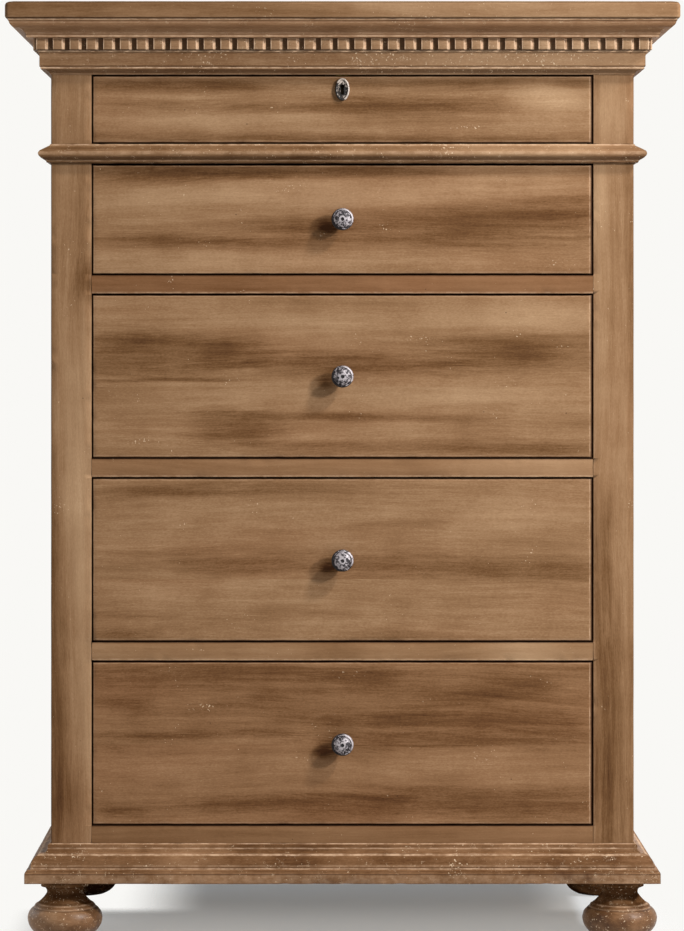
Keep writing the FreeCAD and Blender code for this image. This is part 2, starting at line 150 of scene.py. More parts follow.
def ringCuts(step, *axes):   # even cuts across all that runs along each axis
    def runsAlong(edge):
        reach = abs(edge.verts[1].co[axis] - edge.verts[0].co[axis])
        straight = reach > modelling["straightShare"] * edge.calc_length()
        return straight and reach > modelling["smallestRing"] * step

    for axis in axes:
        pick("EDGE", runsAlong)
        mesh = bmesh.from_edit_mesh(bpy.context.object.data)
        longest = max((edge.calc_length() for edge in mesh.edges if edge.select), default=0)
        if longest > 0:
            cuts = max(1, round(longest / step) - 1)
            bpy.ops.mesh.subdivide(number_cuts=min(modelling["mostCuts"], cuts))


def roundEdges(rounding, wanted):
    radius, steps = rounding
    pick("EDGE", wanted)
    bpy.ops.mesh.bevel(offset=radius, offset_type="OFFSET", segments=steps, profile=0.5, affect="EDGES")


def cutAcross(point, normal, away=False):
    selectAll()
    bpy.ops.mesh.bisect(plane_co=point, plane_no=normal, use_fill=away, clear_outer=away)


def cutAway(point, normal):   # what lies on the normal's side goes, and the cut is closed
    cutAcross(point, normal, away=True)


def faceOutwards():
    selectAll()
    bpy.ops.mesh.remove_doubles(threshold=modelling["weld"])
    bpy.ops.mesh.normals_make_consistent(inside=False)


def applied(piece, kind, **settings):
    onlySelected(piece)
    modifier = piece.modifiers.new(kind, kind)
    for setting, value in settings.items():
        setattr(modifier, setting, value)
    bpy.ops.object.modifier_apply(modifier=modifier.name)


def softened(piece, width, degrees):   # every arris sharper than that
    applied(piece, "BEVEL", width=width, segments=2, limit_method="ANGLE", angle_limit=math.radians(degrees))


def duplicated(piece, name):   # with a mesh of its own
    onlySelected(piece)
    bpy.ops.object.duplicate(linked=False)
    other = bpy.context.object
    other.name = other.data.name = name
    editWhole(other)
    return other


def copyOf(piece, name, move=(0, 0, 0)):
    other = duplicated(piece, name)
    bpy.ops.transform.translate(value=move)
    nothingSelected()
    return other


def mirroredCopy(piece, name):   # across the chest's middle
    other = duplicated(piece, name)
    bpy.ops.transform.resize(value=(-1, 1, 1), center_override=(0, 0, 0))
    faceOutwards()
    nothingSelected()
    return other


def cutOut(piece, cutter):
    applied(piece, "BOOLEAN", object=cutter, operation="DIFFERENCE", solver="EXACT")
    bpy.data.objects.remove(cutter)


def onSide(side, first, second):   # two distances from the middle, as the lower and higher x on that side
    return sorted((side * first, side * second))


# A hand-planed face wanders a little and an arris carries nicks. Both only go inwards.
wear = {
    "planedScale": 0.075,
    "planedDepth": 0.0004,
    "nickScale": 0.011,
    "nickContrast": 4.0,
    "nickIntensity": 0.25,
    "nickDepth": 0.0009,
    "squareOn": 0.985,   # a vertex whose normal is less square than this lies on an arris
}


def clouds(name, size, contrast=1.0, intensity=1.0):
    texture = bpy.data.textures.new(name, "CLOUDS")
    texture.noise_scale = size
    texture.contrast = contrast
    texture.intensity = intensity
    texture.use_clamp = True   # from 0 to 1
    return texture


planed = clouds("planed", wear["planedScale"])
nicked = clouds("nicked", wear["nickScale"], wear["nickContrast"], wear["nickIntensity"])


def worn(piece, texture, depth, group=""):   # dented inwards, up to the depth
    applied(piece, "DISPLACE", texture=texture, texture_coords="LOCAL", mid_level=0.0, strength=-depth,
            vertex_group=group)


def weather(piece, planedShare=1.0, nickShare=1.0, worked=lambda place: True):
    onlySelected(piece)
    corners = piece.data.vertices
    faces = [v.index for v in corners if worked(v.co)]
    arrises = [index for index in faces
               if max(abs(part) for part in corners[index].normal) < wear["squareOn"]]
    dents = (("worked", faces, planed, wear["planedDepth"] * planedShare),
             ("arrises", arrises, nicked, wear["nickDepth"] * nickShare))
    for group, indices, texture, depth in dents:
        piece.vertex_groups.new(name=group).add(indices, 1.0, "REPLACE")
        worn(piece, texture, depth, group)
    piece.vertex_groups.clear()


def handOver(piece, body, slotName, material, *nodes, angle=38):   # its finish, body and nodes
    onlySelected(piece)
    bpy.ops.object.shade_smooth_by_angle(angle=math.radians(angle))
    piece.data.materials.clear()
    piece.data.materials.append(material)
    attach(piece, body)
    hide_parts(*nodes)


# Materials

def tone(red, green, blue):   # a colour as the eye reads it, 0 to 255, by the sRGB curve
    def linear(value):
        share = value / 255
        return share / 12.92 if share <= 0.04045 else ((share + 0.055) / 1.055) ** 2.4

    return (linear(red), linear(green), linear(blue), 1.0)


def addNode(tree, kind, inputs=None, **settings):
    node = tree.nodes.new("ShaderNode" + kind)
    for setting, value in settings.items():
        setattr(node, setting, value)
    for socket, value in (inputs or {}).items():
        if isinstance(value, bpy.types.NodeSocket):
            tree.links.new(value, node.inputs[socket])
        else:
            node.inputs[socket].default_value = value
    return node


def calc(tree, operation, first, second=0.0, third=0.0, clamp=False):
    inputs = {0: first, 1: second, 2: third}
    return addNode(tree, "Math", inputs, operation=operation, use_clamp=clamp).outputs[0]


def vectorCalc(tree, operation, *values):
    node = addNode(tree, "VectorMath", dict(enumerate(values)), operation=operation)
    return node.outputs["Value" if operation == "LENGTH" else "Vector"]


def ramped(tree, value, start, end, low=0.0, high=1.0, base=0.0):   # eased from low at start to high at end
    inputs = {"Value": value, "From Min": base + start, "From Max": base + end, "To Min": low, "To Max": high}
    return addNode(tree, "MapRange", inputs, interpolation_type="SMOOTHSTEP").outputs[0]


def mixed(tree, share, first, second, way="MIX"):
    inputs = {0: share, 6: first, 7: second}
    return addNode(tree, "Mix", inputs, data_type="RGBA", blend_type=way).outputs[2]


def noise(tree, place, scale, detail=2.0, roughness=0.5, distortion=0.0):   # one scale, or one for each axis
    if isinstance(scale, tuple):
        place = addNode(tree, "Mapping", {"Vector": place, "Scale": scale}).outputs[0]
        scale = 1.0
    inputs = {"Vector": place, "Scale": scale, "Detail": detail, "Roughness": roughness,
              "Distortion": distortion}
    return addNode(tree, "TexNoise", inputs).outputs


def inOval(tree, place, centre, size, tilt=0.0):   # the place in an oval's measure, and its reach
    turn = (0.0, -math.radians(tilt), 0.0)
    inputs = {"Vector": place, "Location": centre, "Rotation": turn, "Scale": size}
    local = addNode(tree, "Mapping", inputs, vector_type="TEXTURE").outputs[0]
    return local, vectorCalc(tree, "LENGTH", local)


def coloursOf(tree, value, stops):
    ramp = addNode(tree, "ValToRGB", {"Fac": value})
    elements = ramp.color_ramp.elements
    while len(elements) < len(stops):
        elements.new(0.5)
    for element, (place, colour) in zip(elements, stops):
        element.position = place
        element.color = colour
    return ramp.outputs["Color"]


def painted(tree, colour, name, mask, share):   # one of the finish's tones laid over the colour
    return mixed(tree, calc(tree, "MULTIPLY", mask, share), colour, finishTones[name])


def newMaterial(name):
    material = bpy.data.materials.new(name)
    material.use_nodes = True
    tree = material.node_tree
    tree.nodes.clear()
    return material, tree, addNode(tree, "TexCoord").outputs["Object"]


bumpDistance = 0.001


def finishSurface(tree, colour, roughness, height, bump, metallic, specular):
    inputs = {"Height": height, "Strength": bump, "Distance": bumpDistance}
    normal = addNode(tree, "Bump", inputs).outputs[0]
    inputs = {"Base Color": colour, "Roughness": roughness, "Metallic": metallic, "Normal": normal,
              "Specular IOR Level": specular}
    shader = addNode(tree, "BsdfPrincipled", inputs)
    addNode(tree, "OutputMaterial", {"Surface": shader.outputs[0]})


# Wood, from the broad bands of stain down to the pores. Stops run from the darkest stain to the palest wood.
antiquedStops = [
    (0.00, tone(60, 35, 17)),
    (0.25, tone(96, 67, 41)),
    (0.50, tone(126, 95, 67)),
    (0.75, tone(152, 122, 92)),
    (1.00, tone(184, 155, 123)),
]
bareStops = [
    (0.00, tone(132, 99, 64)),
    (0.50, tone(164, 132, 95)),
    (1.00, tone(188, 160, 123)),
]
finishTones = {
    "worn": tone(204, 172, 142),       # rubbed arrises, and painted highlights
    "glazeAndShade": tone(36, 16, 6),          # dark wax left in hollows, and painted shade in the gaps and under arrises
    "fleck": tone(220, 195, 164),
    "reddish": tone(236, 186, 160),
    "pit": tone(46, 28, 18),
}
antiqued = {
    "stops": antiquedStops,
    "shift": (0.0, 0.0, 0.0),   # each wood is cut from another part of the pattern
    "light": 0.0,
    "wander": 0.05,
    "bands": 0.35,
    "bandsAlong": 1.1,
    "bandsAcross": 13.0,
    "streaks": 0.42,
    "fibres": 0.22,
    "pores": 0.30,
    "stain": 0.30,
    "red": 0.13,
    "warm": 0.0,
    "flecks": 0.50,
    "fleckLimit": 0.77,
    "scribbles": 0.0,
    "pits": 0.6,
    "gap": None,         # where the painted shade in the gaps begins: y, and the x past which there is none
    "joint": None,       # height at which two boards are glued
    "teeth": None,
    "roughness": (0.44, 0.64),
    "sheen": 0.05,
    "unpolished": None,  # heights between which the sheen fades away
    "bump": 0.30,
    "plies": None,
}
bare = dict(antiqued, stops=bareStops, bands=0.5, streaks=0.5, fibres=0.3, stain=0.1, red=0.0, flecks=0.0,
            pits=0.0, roughness=(0.55, 0.75))
woodDetail = {
    # Noises: how fine along and across the grain, or all ways, then how much detail and how rough
    "drift": (1.5, 5.0),
    "markDrift": (3.0, 14.0),
    "bands": (3.0, 0.5),             # only the last two
    "streaks": (5.0, 105.0, 5.0, 0.62),
    "fibres": (38.0, 780.0, 3.0, 0.6),
    "pores": (260.0, 620.0, 2.0, 0.6),
    "patches": (2.0, 9.0),
    "stain": (13.0, 4.0, 0.6),
    "rubbed": (75.0, 4.0, 0.65),
    "wobble": (55.0, 2.0),
    "grit": (330.0, 1.5, 0.6),
    "clusters": (21.0, 2.0),
    "curls": (230.0, 1.0),
    "curlsKept": (95.0, 1.0),
    # Where each one begins and ends to show, and in one case from what to what
    "patchRange": (0.45, 0.75),
    "rubbedRange": (0.34, 0.66, 0.25, 1.0),
    "clusterRange": (0.58, 0.70),
    "curlRange": (0.024, 0.008),
    "keptRange": (0.62, 0.68),
    "pitRange": (0.032, 0.018),
    "roughRange": (0.3, 0.7),
    "markRange": (1.60, 0.10),       # in shares of the way out to an oval's edge
    "lineRange": (1.30, 0.50),       # in halves of a line's width
    "gapRange": (0.0, 0.0007),       # metres behind the start of a gap
    "gapEnd": (0.016, 0.007),
    # How much
    "lowerBoard": (0.6, 0.3, 0.0),   # how far off a glued board's pattern is cut
    "markReach": (0.06, 0.012),
    "frayStreaks": 0.7,
    "frayFibres": 0.5,
    "frayLess": -0.6,
    "plyShare": 0.12,
    "fibreHeight": 0.5,
    "wobbleReach": 0.0010,
    "clusterShare": -0.09,
    "fleckSharpness": 26.0,
    "pitScale": 26.0,
    "pitShare": 0.42,
    "pitDepth": 2.0,
}
toothWearAndLight = {   # metres from a tooth's arrises or its face, and then how strong
    "arris": (0.0021, 0.0010),
    "face": (-0.0022, -0.0014, 0.0, 1.5),
    # painted highlight on a tooth's right side and on the gap's wood beside it
    "rightSide": (-0.0014, -0.0004, 0.0, 1.4),
    "besideEnd": (0.0030, 0.0022),
    # painted shade in the gaps
    "gap": (-0.0032, -0.0040, 0.0, 0.72),
}


def alongGrain(grain, along, across):
    return {"x": (along, across, across), "y": (across, along, across), "z": (across, across, along)}[grain]


def grainNoise(tree, place, grain, along, across, *detail):
    return noise(tree, place, alongGrain(grain, along, across), *detail)


def swayed(tree, place, grain, fineness, reach):   # the place moved about by a soft noise
    sway = grainNoise(tree, place, grain, *fineness)["Color"]
    centred = vectorCalc(tree, "SUBTRACT", sway, (0.5, 0.5, 0.5))
    return vectorCalc(tree, "MULTIPLY_ADD", centred, alongGrain(grain, *reach), place)


def smudge(tree, place, fray, mark):   # a soft oval: darker where its amount is above zero, paler below
    centre, size, tilt, amount = mark
    reach = inOval(tree, place, centre, size, tilt)[1]
    return ramped(tree, calc(tree, "ADD", reach, fray), *woodDetail["markRange"], 0.0, amount)


def lineMasks(tree, split, wobble, lines):   # a line: axis, place, half its width, and how pale or dark
    masks = {True: 0.0, False: 0.0}
    start, end = woodDetail["lineRange"]
    for axis, spot, half, amount in lines:
        if axis == "sides":
            coordinate = calc(tree, "ABSOLUTE", split[0])
        else:
            coordinate = split["xyz".index(axis)]
        away = calc(tree, "ABSOLUTE", calc(tree, "SUBTRACT", calc(tree, "ADD", coordinate, wobble), spot))
        mask = ramped(tree, away, half * start, half * end, 0.0, abs(amount))
        pale = amount > 0
        masks[pale] = calc(tree, "MAXIMUM", mask, masks[pale])
    return masks[True], masks[False]


def toothEdges(tree, split, teeth):   # pale arrises round the face of each tooth, rubbed and partly painted highlight, a painted highlight on each tooth's right side and the gap beside it, and painted shade between the teeth
    axis, middle, pitch, half, front = teeth
    along = split["xyz".index(axis)]
    spot = calc(tree, "SUBTRACT", calc(tree, "WRAP", along, middle + pitch / 2, middle - pitch / 2), middle)
    fromArris = calc(tree, "ABSOLUTE", calc(tree, "SUBTRACT", calc(tree, "ABSOLUTE", spot), half))
    edge = ramped(tree, fromArris, *toothWearAndLight["arris"])
    outward = calc(tree, "ABSOLUTE", split[0 if axis == "y" else 1])
    edge = calc(tree, "MULTIPLY", edge, ramped(tree, outward, *toothWearAndLight["face"], base=front))
    paintedLitSide = ramped(tree, spot, *toothWearAndLight["rightSide"], base=half)   # and the gap's wood close beside it
    within = ramped(tree, spot, *toothWearAndLight["besideEnd"], base=half)
    paintedLitSide = calc(tree, "MULTIPLY", paintedLitSide, within)
    gap = ramped(tree, outward, *toothWearAndLight["gap"], base=front)
    gap = calc(tree, "MULTIPLY", gap, calc(tree, "SUBTRACT", 1.0, ramped(tree, paintedLitSide, 0.0, 1.0)))
    return calc(tree, "MAXIMUM", edge, paintedLitSide), gap


def wood(name, grain, look, marks=(), scuffs=(), lines=()):
    detail = woodDetail
    material, tree, place = newMaterial(name)
    split = addNode(tree, "SeparateXYZ", {0: place}).outputs
    moved = addNode(tree, "Mapping", {"Vector": place, "Location": look["shift"]}).outputs[0]
    if look["joint"]:   # the lower board is cut from another place
        lower = calc(tree, "LESS_THAN", split[2], look["joint"])
        lower = addNode(tree, "CombineXYZ", {0: lower, 1: lower}).outputs[0]
        moved = vectorCalc(tree, "MULTIPLY_ADD", lower, detail["lowerBoard"], moved)
    grainPlace = swayed(tree, moved, grain, detail["drift"], (0.0, look["wander"]))

    bandsScale = (look["bandsAlong"], look["bandsAcross"])
    bands = grainNoise(tree, grainPlace, grain, *bandsScale, *detail["bands"])[0]
    streaks, fibres, pores = [grainNoise(tree, grainPlace, grain, *detail[key])[0]
                              for key in ("streaks", "fibres", "pores")]
    stain = noise(tree, moved, *detail["stain"])[0]
    layers = [(bands, look["bands"]), (streaks, look["streaks"]), (fibres, look["fibres"]),
              (pores, look["pores"]), (stain, look["stain"])]
    value = 0.5 + look["light"] - sum(share for layer, share in layers) / 2
    for layer, share in layers:
        value = calc(tree, "MULTIPLY_ADD", layer, share, value)

    if marks or scuffs:   # their edges fray along the streaks
        markPlace = swayed(tree, place, grain, detail["markDrift"], detail["markReach"])
        fray = calc(tree, "MULTIPLY_ADD", fibres, detail["frayFibres"], detail["frayLess"])
        fray = calc(tree, "MULTIPLY_ADD", streaks, detail["frayStreaks"], fray)
        for mark in marks:
            value = calc(tree, "SUBTRACT", value, smudge(tree, markPlace, fray, mark))
    if look["plies"]:
        across = split[look["plies"]["axis"]]
        plies = calc(tree, "SINE", calc(tree, "MULTIPLY", across, 2 * math.pi / look["plies"]["pitch"]))
        value = calc(tree, "MULTIPLY_ADD", plies, detail["plyShare"], value)
    colour = coloursOf(tree, value, look["stops"])
    height = calc(tree, "MULTIPLY", streaks, 1 - detail["fibreHeight"])
    height = calc(tree, "MULTIPLY_ADD", fibres, detail["fibreHeight"], height)

    if look["red"] or look["warm"]:
        patches = grainNoise(tree, moved, grain, *detail["patches"])[0]
        share = ramped(tree, patches, *detail["patchRange"], look["warm"], look["warm"] + look["red"])
        colour = mixed(tree, share, colour, finishTones["reddish"], "MULTIPLY")
    if lines or look["teeth"]:
        rubbed = ramped(tree, noise(tree, place, *detail["rubbed"])[0], *detail["rubbedRange"])
        wobble = noise(tree, place, *detail["wobble"])[0]
        wobble = calc(tree, "MULTIPLY_ADD", wobble, detail["wobbleReach"], -detail["wobbleReach"] / 2)
        pale, dark = lineMasks(tree, split, wobble, lines)
        if look["teeth"]:
            edge, gap = toothEdges(tree, split, look["teeth"])
            pale = calc(tree, "MAXIMUM", pale, edge)
            dark = calc(tree, "MAXIMUM", dark, gap)
        # pale: rubbed wear and painted highlights; dark: dark wax and painted shade
        colour = painted(tree, colour, "worn", pale, rubbed)
        colour = mixed(tree, dark, colour, finishTones["glazeAndShade"])
    if look["flecks"]:
        grit = noise(tree, place, *detail["grit"])[0]
        clusters = ramped(tree, noise(tree, moved, *detail["clusters"])[0], *detail["clusterRange"])
        limit = calc(tree, "MULTIPLY_ADD", clusters, detail["clusterShare"], look["fleckLimit"])
        for mark in scuffs:
            limit = calc(tree, "SUBTRACT", limit, smudge(tree, markPlace, fray, mark))
        fleck = calc(tree, "SUBTRACT", grit, limit)
        fleck = calc(tree, "MULTIPLY", fleck, detail["fleckSharpness"], clamp=True)
        colour = painted(tree, colour, "fleck", fleck, look["flecks"])
        height = calc(tree, "SUBTRACT", height, fleck)
    if look["scribbles"]:   # short curly scratches, where one noise crosses its middle and another is high
        curl = calc(tree, "ABSOLUTE", calc(tree, "SUBTRACT", noise(tree, place, *detail["curls"])[0], 0.5))
        kept = ramped(tree, noise(tree, place, *detail["curlsKept"])[0], *detail["keptRange"])
        scratch = calc(tree, "MULTIPLY", ramped(tree, curl, *detail["curlRange"]), kept)
        colour = painted(tree, colour, "fleck", scratch, look["scribbles"])
    if look["pits"]:
        cells = addNode(tree, "TexVoronoi", {"Vector": place, "Scale": detail["pitScale"]}).outputs
        chosen = addNode(tree, "SeparateColor", {0: cells["Color"]}).outputs[0]
        chosen = calc(tree, "LESS_THAN", chosen, detail["pitShare"])
        dot = calc(tree, "MULTIPLY", ramped(tree, cells["Distance"], *detail["pitRange"]), chosen)
        colour = painted(tree, colour, "pit", dot, look["pits"])
        height = calc(tree, "SUBTRACT", height, calc(tree, "MULTIPLY", dot, detail["pitDepth"]))
    # painted shade on the faces set back in the gaps
    if look["gap"]:
        start, inner = look["gap"]
        deep = ramped(tree, split[1], *detail["gapRange"], base=start)
        deep = calc(tree, "MULTIPLY", deep, ramped(tree, split[1], *detail["gapEnd"], base=start))
        within = calc(tree, "LESS_THAN", calc(tree, "ABSOLUTE", split[0]), inner)
        colour = painted(tree, colour, "glazeAndShade", deep, within)
    roughness = ramped(tree, streaks, *detail["roughRange"], *look["roughness"])
    sheen = look["sheen"]
    if look["unpolished"]:
        sheen = ramped(tree, split[2], *look["unpolished"], sheen, 0.0)
    finishSurface(tree, colour, roughness, height, look["bump"], 0.0, sheen)
    return material


# Marks on the drawer fronts and the posts, in millimetres from the middle of a front or from the frame's
# origin: middle x and z, half the length and half the height, tilt in degrees, and how much darker
frontMarks = {
    1: [(-239, 38, 125, 11, 0, 0.30), (165, 40, 170, 9, 0, 0.17), (292, 17, 52, 22, 0, -0.20),
        (302, 0, 66, 34, 0, -0.10), (61, 5, 210, 12, 0, 0.24), (-253, 5, 70, 9, 0, 0.14),
        (-183, -19, 195, 12, 0, -0.14), (0, -41, 420, 8, 0, 0.20), (332, 38, 30, 7, 0, 0.22)],
    2: [(-253, 68, 140, 15, 0, 0.38), (-22, 70, 200, 12, 0, 0.26), (-140, 32, 240, 27, 0, -0.12),
        (-76, -9, 95, 13, 0, 0.22), (-249, -30, 90, 12, 0, 0.28), (-131, -36, 80, 10, 0, 0.18),
        (-82, -60, 320, 17, 0, -0.13), (188, 42, 195, 18, 4, -0.18), (201, -6, 190, 37, 4, 0.24),
        (330, 7, 65, 22, 0, 0.10)],
    3: [(-256, 35, 145, 31, 0, 0.26), (-309, 52, 82, 10, 0, 0.18), (-166, 39, 44, 11, 0, 0.15),
        (-79, 16, 95, 13, 0, 0.24), (-4, 74, 190, 27, 0, -0.13), (-256, 91, 130, 22, 0, -0.11),
        (-4, 25, 60, 10, 0, 0.15), (263, 33, 120, 29, 0, 0.28), (90, 14, 105, 13, 0, 0.22),
        (251, 88, 120, 25, 0, -0.28), (-247, -7, 105, 3, 0, 0.30), (-180, -32, 205, 22, 0, -0.11),
        (190, -29, 185, 24, 0, -0.13), (-162, -78, 66, 26, 0, 0.30), (20, -59, 185, 6, -1, 0.26),
        (20, -82, 120, 11, 0, -0.07), (0, -101, 140, 8, 0, 0.15), (248, -104, 130, 10, 0, 0.22)],
    4: [(-264, 100, 115, 11, 0, 0.30), (-48, 103, 165, 9, 0, 0.16), (-212, 55, 195, 38, 0, -0.08),
        (-180, -4, 205, 20, 0, 0.26), (-190, -41, 205, 20, 0, -0.08), (-283, -77, 66, 11, 0, 0.15),
        (-91, -77, 66, 11, 0, 0.13), (-318, -110, 60, 9, 0, 0.28), (248, 67, 76, 22, 0, -0.15),
        (234, 52, 140, 40, 0, -0.06), (92, 57, 98, 13, 10, 0.11), (188, -9, 190, 22, 0, 0.26),
        (68, -108, 88, 9, 0, 0.22)],
    5: [(0, 58, 460, 62, 0, 0.12), (-183, 102, 205, 13, 0, 0.22), (-98, 69, 70, 8, 4, 0.15),
        (-319, 57, 50, 7, 0, 0.18), (-229, 13, 135, 7, 0, 0.22), (-183, -35, 205, 33, 0, -0.09),
        (-131, -86, 150, 12, 3, 0.22), (-322, -97, 30, 9, 0, 0.22), (25, 97, 60, 17, 0, 0.20),
        (200, 72, 130, 15, 12, 0.16), (235, 82, 60, 15, 0, 0.08), (175, 32, 215, 14, 0, 0.24),
        (175, 6, 215, 11, 0, 0.26), (193, -32, 180, 28, 0, -0.15), (175, -85, 215, 22, 0, 0.28),
        (82, -83, 44, 7, 0, 0.13)],
}
frontScuffs = {
    1: [(175, -22, 28, 5)],
    2: [(-67, 46, 30, 8), (308, -62, 30, 7)],
    3: [(120, 52, 38, 6), (-303, -91, 36, 5)],
    4: [(-235, 50, 12, 8)],
    5: [(-197, 55, 30, 7)],
}
frontLight = {1: 0.025, 2: -0.01, 3: -0.01, 4: 0.0, 5: -0.05}
frontWarm = {1: 0.0, 2: 0.0, 3: 0.0, 4: 0.0, 5: 0.12}
frontDepth = {1: 0.96, 2: 0.86, 3: 0.86, 4: 0.66, 5: 0.74}   # how strong each front's marks are
scuffAmount = 0.17
jointHeights = {3: -0.015, 4: -0.028, 5: -0.002}
knobShadowPaint = [(-8, -6, 20, 16, 0, 0.16), (-22, -11.5, 12, 9, 0, 0.34)]   # painted shadow of each knob, left of and below it
keyholeShade = [(0, 0, 5, 8.5, 0, 1.2)]   # painted shade: black behind the plate, round the keyhole
postMarks = [
    (-413, 360, 15, 260, 0, 0.24), (-420, 800, 8, 520, 0, 0.08), (-390, 1000, 18, 130, 0, 0.12),
    (-391, 655, 16, 90, 0, -0.10), (-373, 640, 12, 270, 0, -0.14), (-372, 1010, 12, 130, 0, 0.12),
    (-369, 944, 16, 30, 0, 0.26), (-396, 190, 28, 60, 0, 0.16), (372, 950, 12, 270, 0, -0.12),
    (373, 1070, 14, 60, 0, -0.12), (374, 320, 14, 260, 0, 0.20), (393, 280, 14, 210, 0, 0.24),
    (418, 760, 11, 700, 0, 0.14), (413, 640, 12, 160, 0, -0.10), (400, 1190, 30, 60, 0, -0.10),
    (396, 640, 40, 900, 0, 0.06),
]
# Broad changes along rails and mouldings, through all their height: middle x, half the length, how dark
runMarks = {
    "top_board": [(-310, 300, 0.07), (280, 260, -0.10)],
    "crown_moulding": [(40, 110, 0.07), (330, 130, -0.05)],
    "frieze_moulding": [(-330, 260, 0.06), (120, 120, -0.08), (300, 180, -0.24)],
    "waist_moulding": [(-400, 110, 0.12), (-200, 210, 0.08), (180, 90, -0.06), (300, 110, -0.20)],
    "plinth_moulding": [(-20, 110, 0.14), (345, 60, 0.08), (250, 260, 0.04)],
    "dentil_strips": [(-330, 260, 0.04), (330, 180, -0.16)],
    "rail_2_3": [(-270, 260, 0.08), (210, 240, -0.05)],
    "rail_3_4": [(-240, 120, 0.04), (285, 110, -0.14)],
    "rail_4_5": [(-250, 140, 0.04), (-10, 45, 0.10), (265, 55, -0.16)],
}
runScuffs = {   # speckled stretches: middle x, half the length, how thick the specks lie
    "top_board": [(110, 30, 0.10), (240, 90, 0.07), (-60, 60, 0.05)],
    "frieze_moulding": [(-197, 36, 0.11), (60, 50, 0.09), (235, 150, 0.10), (-40, 60, 0.04)],
    "waist_moulding": [(-190, 260, 0.06), (200, 260, 0.05)],
    "plinth_moulding": [(-425, 50, 0.06), (-330, 90, 0.04), (-40, 140, 0.05), (260, 160, 0.06),
                        (440, 50, 0.06)],
}
runHeight = 200   # more than the height of any piece with such changes
# Lines: axis, which end of the box (0 low, 1 high), how far past it, half the width, and how pale or dark
frontLines = [   # dark all round: painted shade in the gaps; pale just inside: rubbed wear with a painted highlight, most of all at the right
    ("x", 0, 0, 0.0013, -0.9), ("x", 1, 0, 0.0024, -0.9), ("z", 0, 0, 0.0018, -0.9),
    ("z", 1, 0, 0.0012, -0.9), ("x", 1, -0.0034, 0.0008, 0.38), ("x", 0, 0.0024, 0.0009, 0.08),
    ("z", 0, 0.0030, 0.0010, 0.14), ("z", 1, -0.0021, 0.0008, 0.20),
]
# dark along the upper and lower arrises beside the drawer gaps: painted shade; pale just above the lower one:
# rubbed wear
railLines = [("z", 1, 0, 0.0011, -0.9), ("z", 1, -0.0016, 0.0008, -0.25), ("z", 0, 0, 0.0006, -0.8),
             ("z", 0, 0.0018, 0.0013, 0.28)]
topLines = [("z", 1, -0.0019, 0.0008, -0.45), ("z", 0, 0.0004, 0.0010, -0.5), ("z", 0, 0.0022, 0.0007, 0.12)]


def linesOn(node, table):
    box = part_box(node)
    return [(axis, box[end]["xyz".index(axis)] + past, half, amount)
            for axis, end, past, half, amount in table]


def placedMarks(marks, middle, depth=1.0):   # millimetres to metres; a mark goes right through the wood
    placed = []
    for x, z, halfLength, halfHeight, tilt, amount in marks:
        centre = (middle.x + x / 1000, middle.y, middle.z + z / 1000)
        placed.append((centre, (halfLength / 1000, 1.0, halfHeight / 1000), tilt, amount * depth))
    return placed


def marksAlong(node, table):
    spread = [(x, 0, half, runHeight, 0, amount) for x, half, amount in table.get(node, [])]
    middle = middleOf(node)
    return placedMarks(spread, Vector((0, middle.y, middle.z)))


# Each front and rail is cut from its own part of the pattern: where the first one lies, and how far apart
patternPlaces = {"front": ((0, 0, 0), (0.7, 0.3, 0.17)), "rail": ((2.1, 0.9, 0.6), (0.4, 0, 0.3))}


def patternPlace(kind, index):
    return tuple(start + index * step for start, step in zip(*patternPlaces[kind]))


gapStart = 0.0008   # behind a piece's face, where the painted shade in the gaps begins
frontWood = {}
for number in drawerNumbers:
    node = f"drawer_{number}_front"
    middle = middleOf(node)
    marks = placedMarks(frontMarks[number], middle, frontDepth[number])
    if number > 1:
        marks += placedMarks(knobShadowPaint, middleOf(f"drawer_{number}_knob"))
    else:
        marks += placedMarks(keyholeShade, middleOf("drawer_1_keyhole_plate"))
    scuffs = placedMarks([(*scuff, 0, scuffAmount) for scuff in frontScuffs[number]], middle)
    look = dict(antiqued, shift=patternPlace("front", number), light=frontLight[number], bands=0.22,
                warm=frontWarm[number], gap=(caseFront + drawerRecess + gapStart, caseSide))
    if number in jointHeights:
        look["joint"] = middle.z + jointHeights[number]
    frontWood[number] = wood(f"drawerWood{number}", "x", look, marks, scuffs, linesOn(node, frontLines))
# dark at the posts' inner arrises beside the drawer gaps: painted shade; dark at the outer arrises, and pale
# just inside the inner ones
postLines = [("sides", postInner, 0.0008, -0.35), ("sides", postInner + 0.0024, 0.0010, 0.10),
             ("sides", caseSide, 0.0012, -0.35)]
postLook = dict(antiqued, shift=(1.3, 0.4, 0.2), bandsAcross=16.0, light=0.02, pores=0.2, fibres=0.18,
                gap=(caseFront + 0.0010, postInner + 0.0012))
postWood = wood("postWood", "z", postLook, placedMarks(postMarks, Vector((0, caseFront, 0))), (), postLines)
railLook = dict(antiqued, bands=0.3, pores=0.12, fibres=0.12, streaks=0.3, stain=0.2,
                gap=(caseFront + gapStart, postInner))
railTones = {   # how light and how warm each rail is
    "rail_waist": (0.0, 0.2),
    "rail_2_3": (-0.10, 0.26),
    "rail_3_4": (-0.02, 0.08),
    "rail_4_5": (0.01, 0.0),
    "rail_bottom_front": (-0.11, 0.06),
}
railWood = {}
for index, (node, (light, warm)) in enumerate(railTones.items()):
    look = dict(railLook, shift=patternPlace("rail", index), light=light, warm=warm)
    railWood[node] = wood(f"railWood{index + 1}", "x", look, marksAlong(node, runMarks), (),
                          linesOn(node, railLines))
sideRailWood = wood("sideRailWood", "y", dict(antiqued, shift=(2.6, 0.2, 0.9)))
sidePanelWood = wood("sidePanelWood", "z", dict(antiqued, shift=(3.3, 0.1, 0.5), bands=0.45))
topLook = dict(antiqued, shift=(4.1, 0.5, 0.3), bands=0.5, light=-0.05, pores=0.2)
topWood = wood("topWood", "x", topLook, marksAlong("top_board", runMarks), marksAlong("top_board", runScuffs),
               linesOn("top_board", topLines))
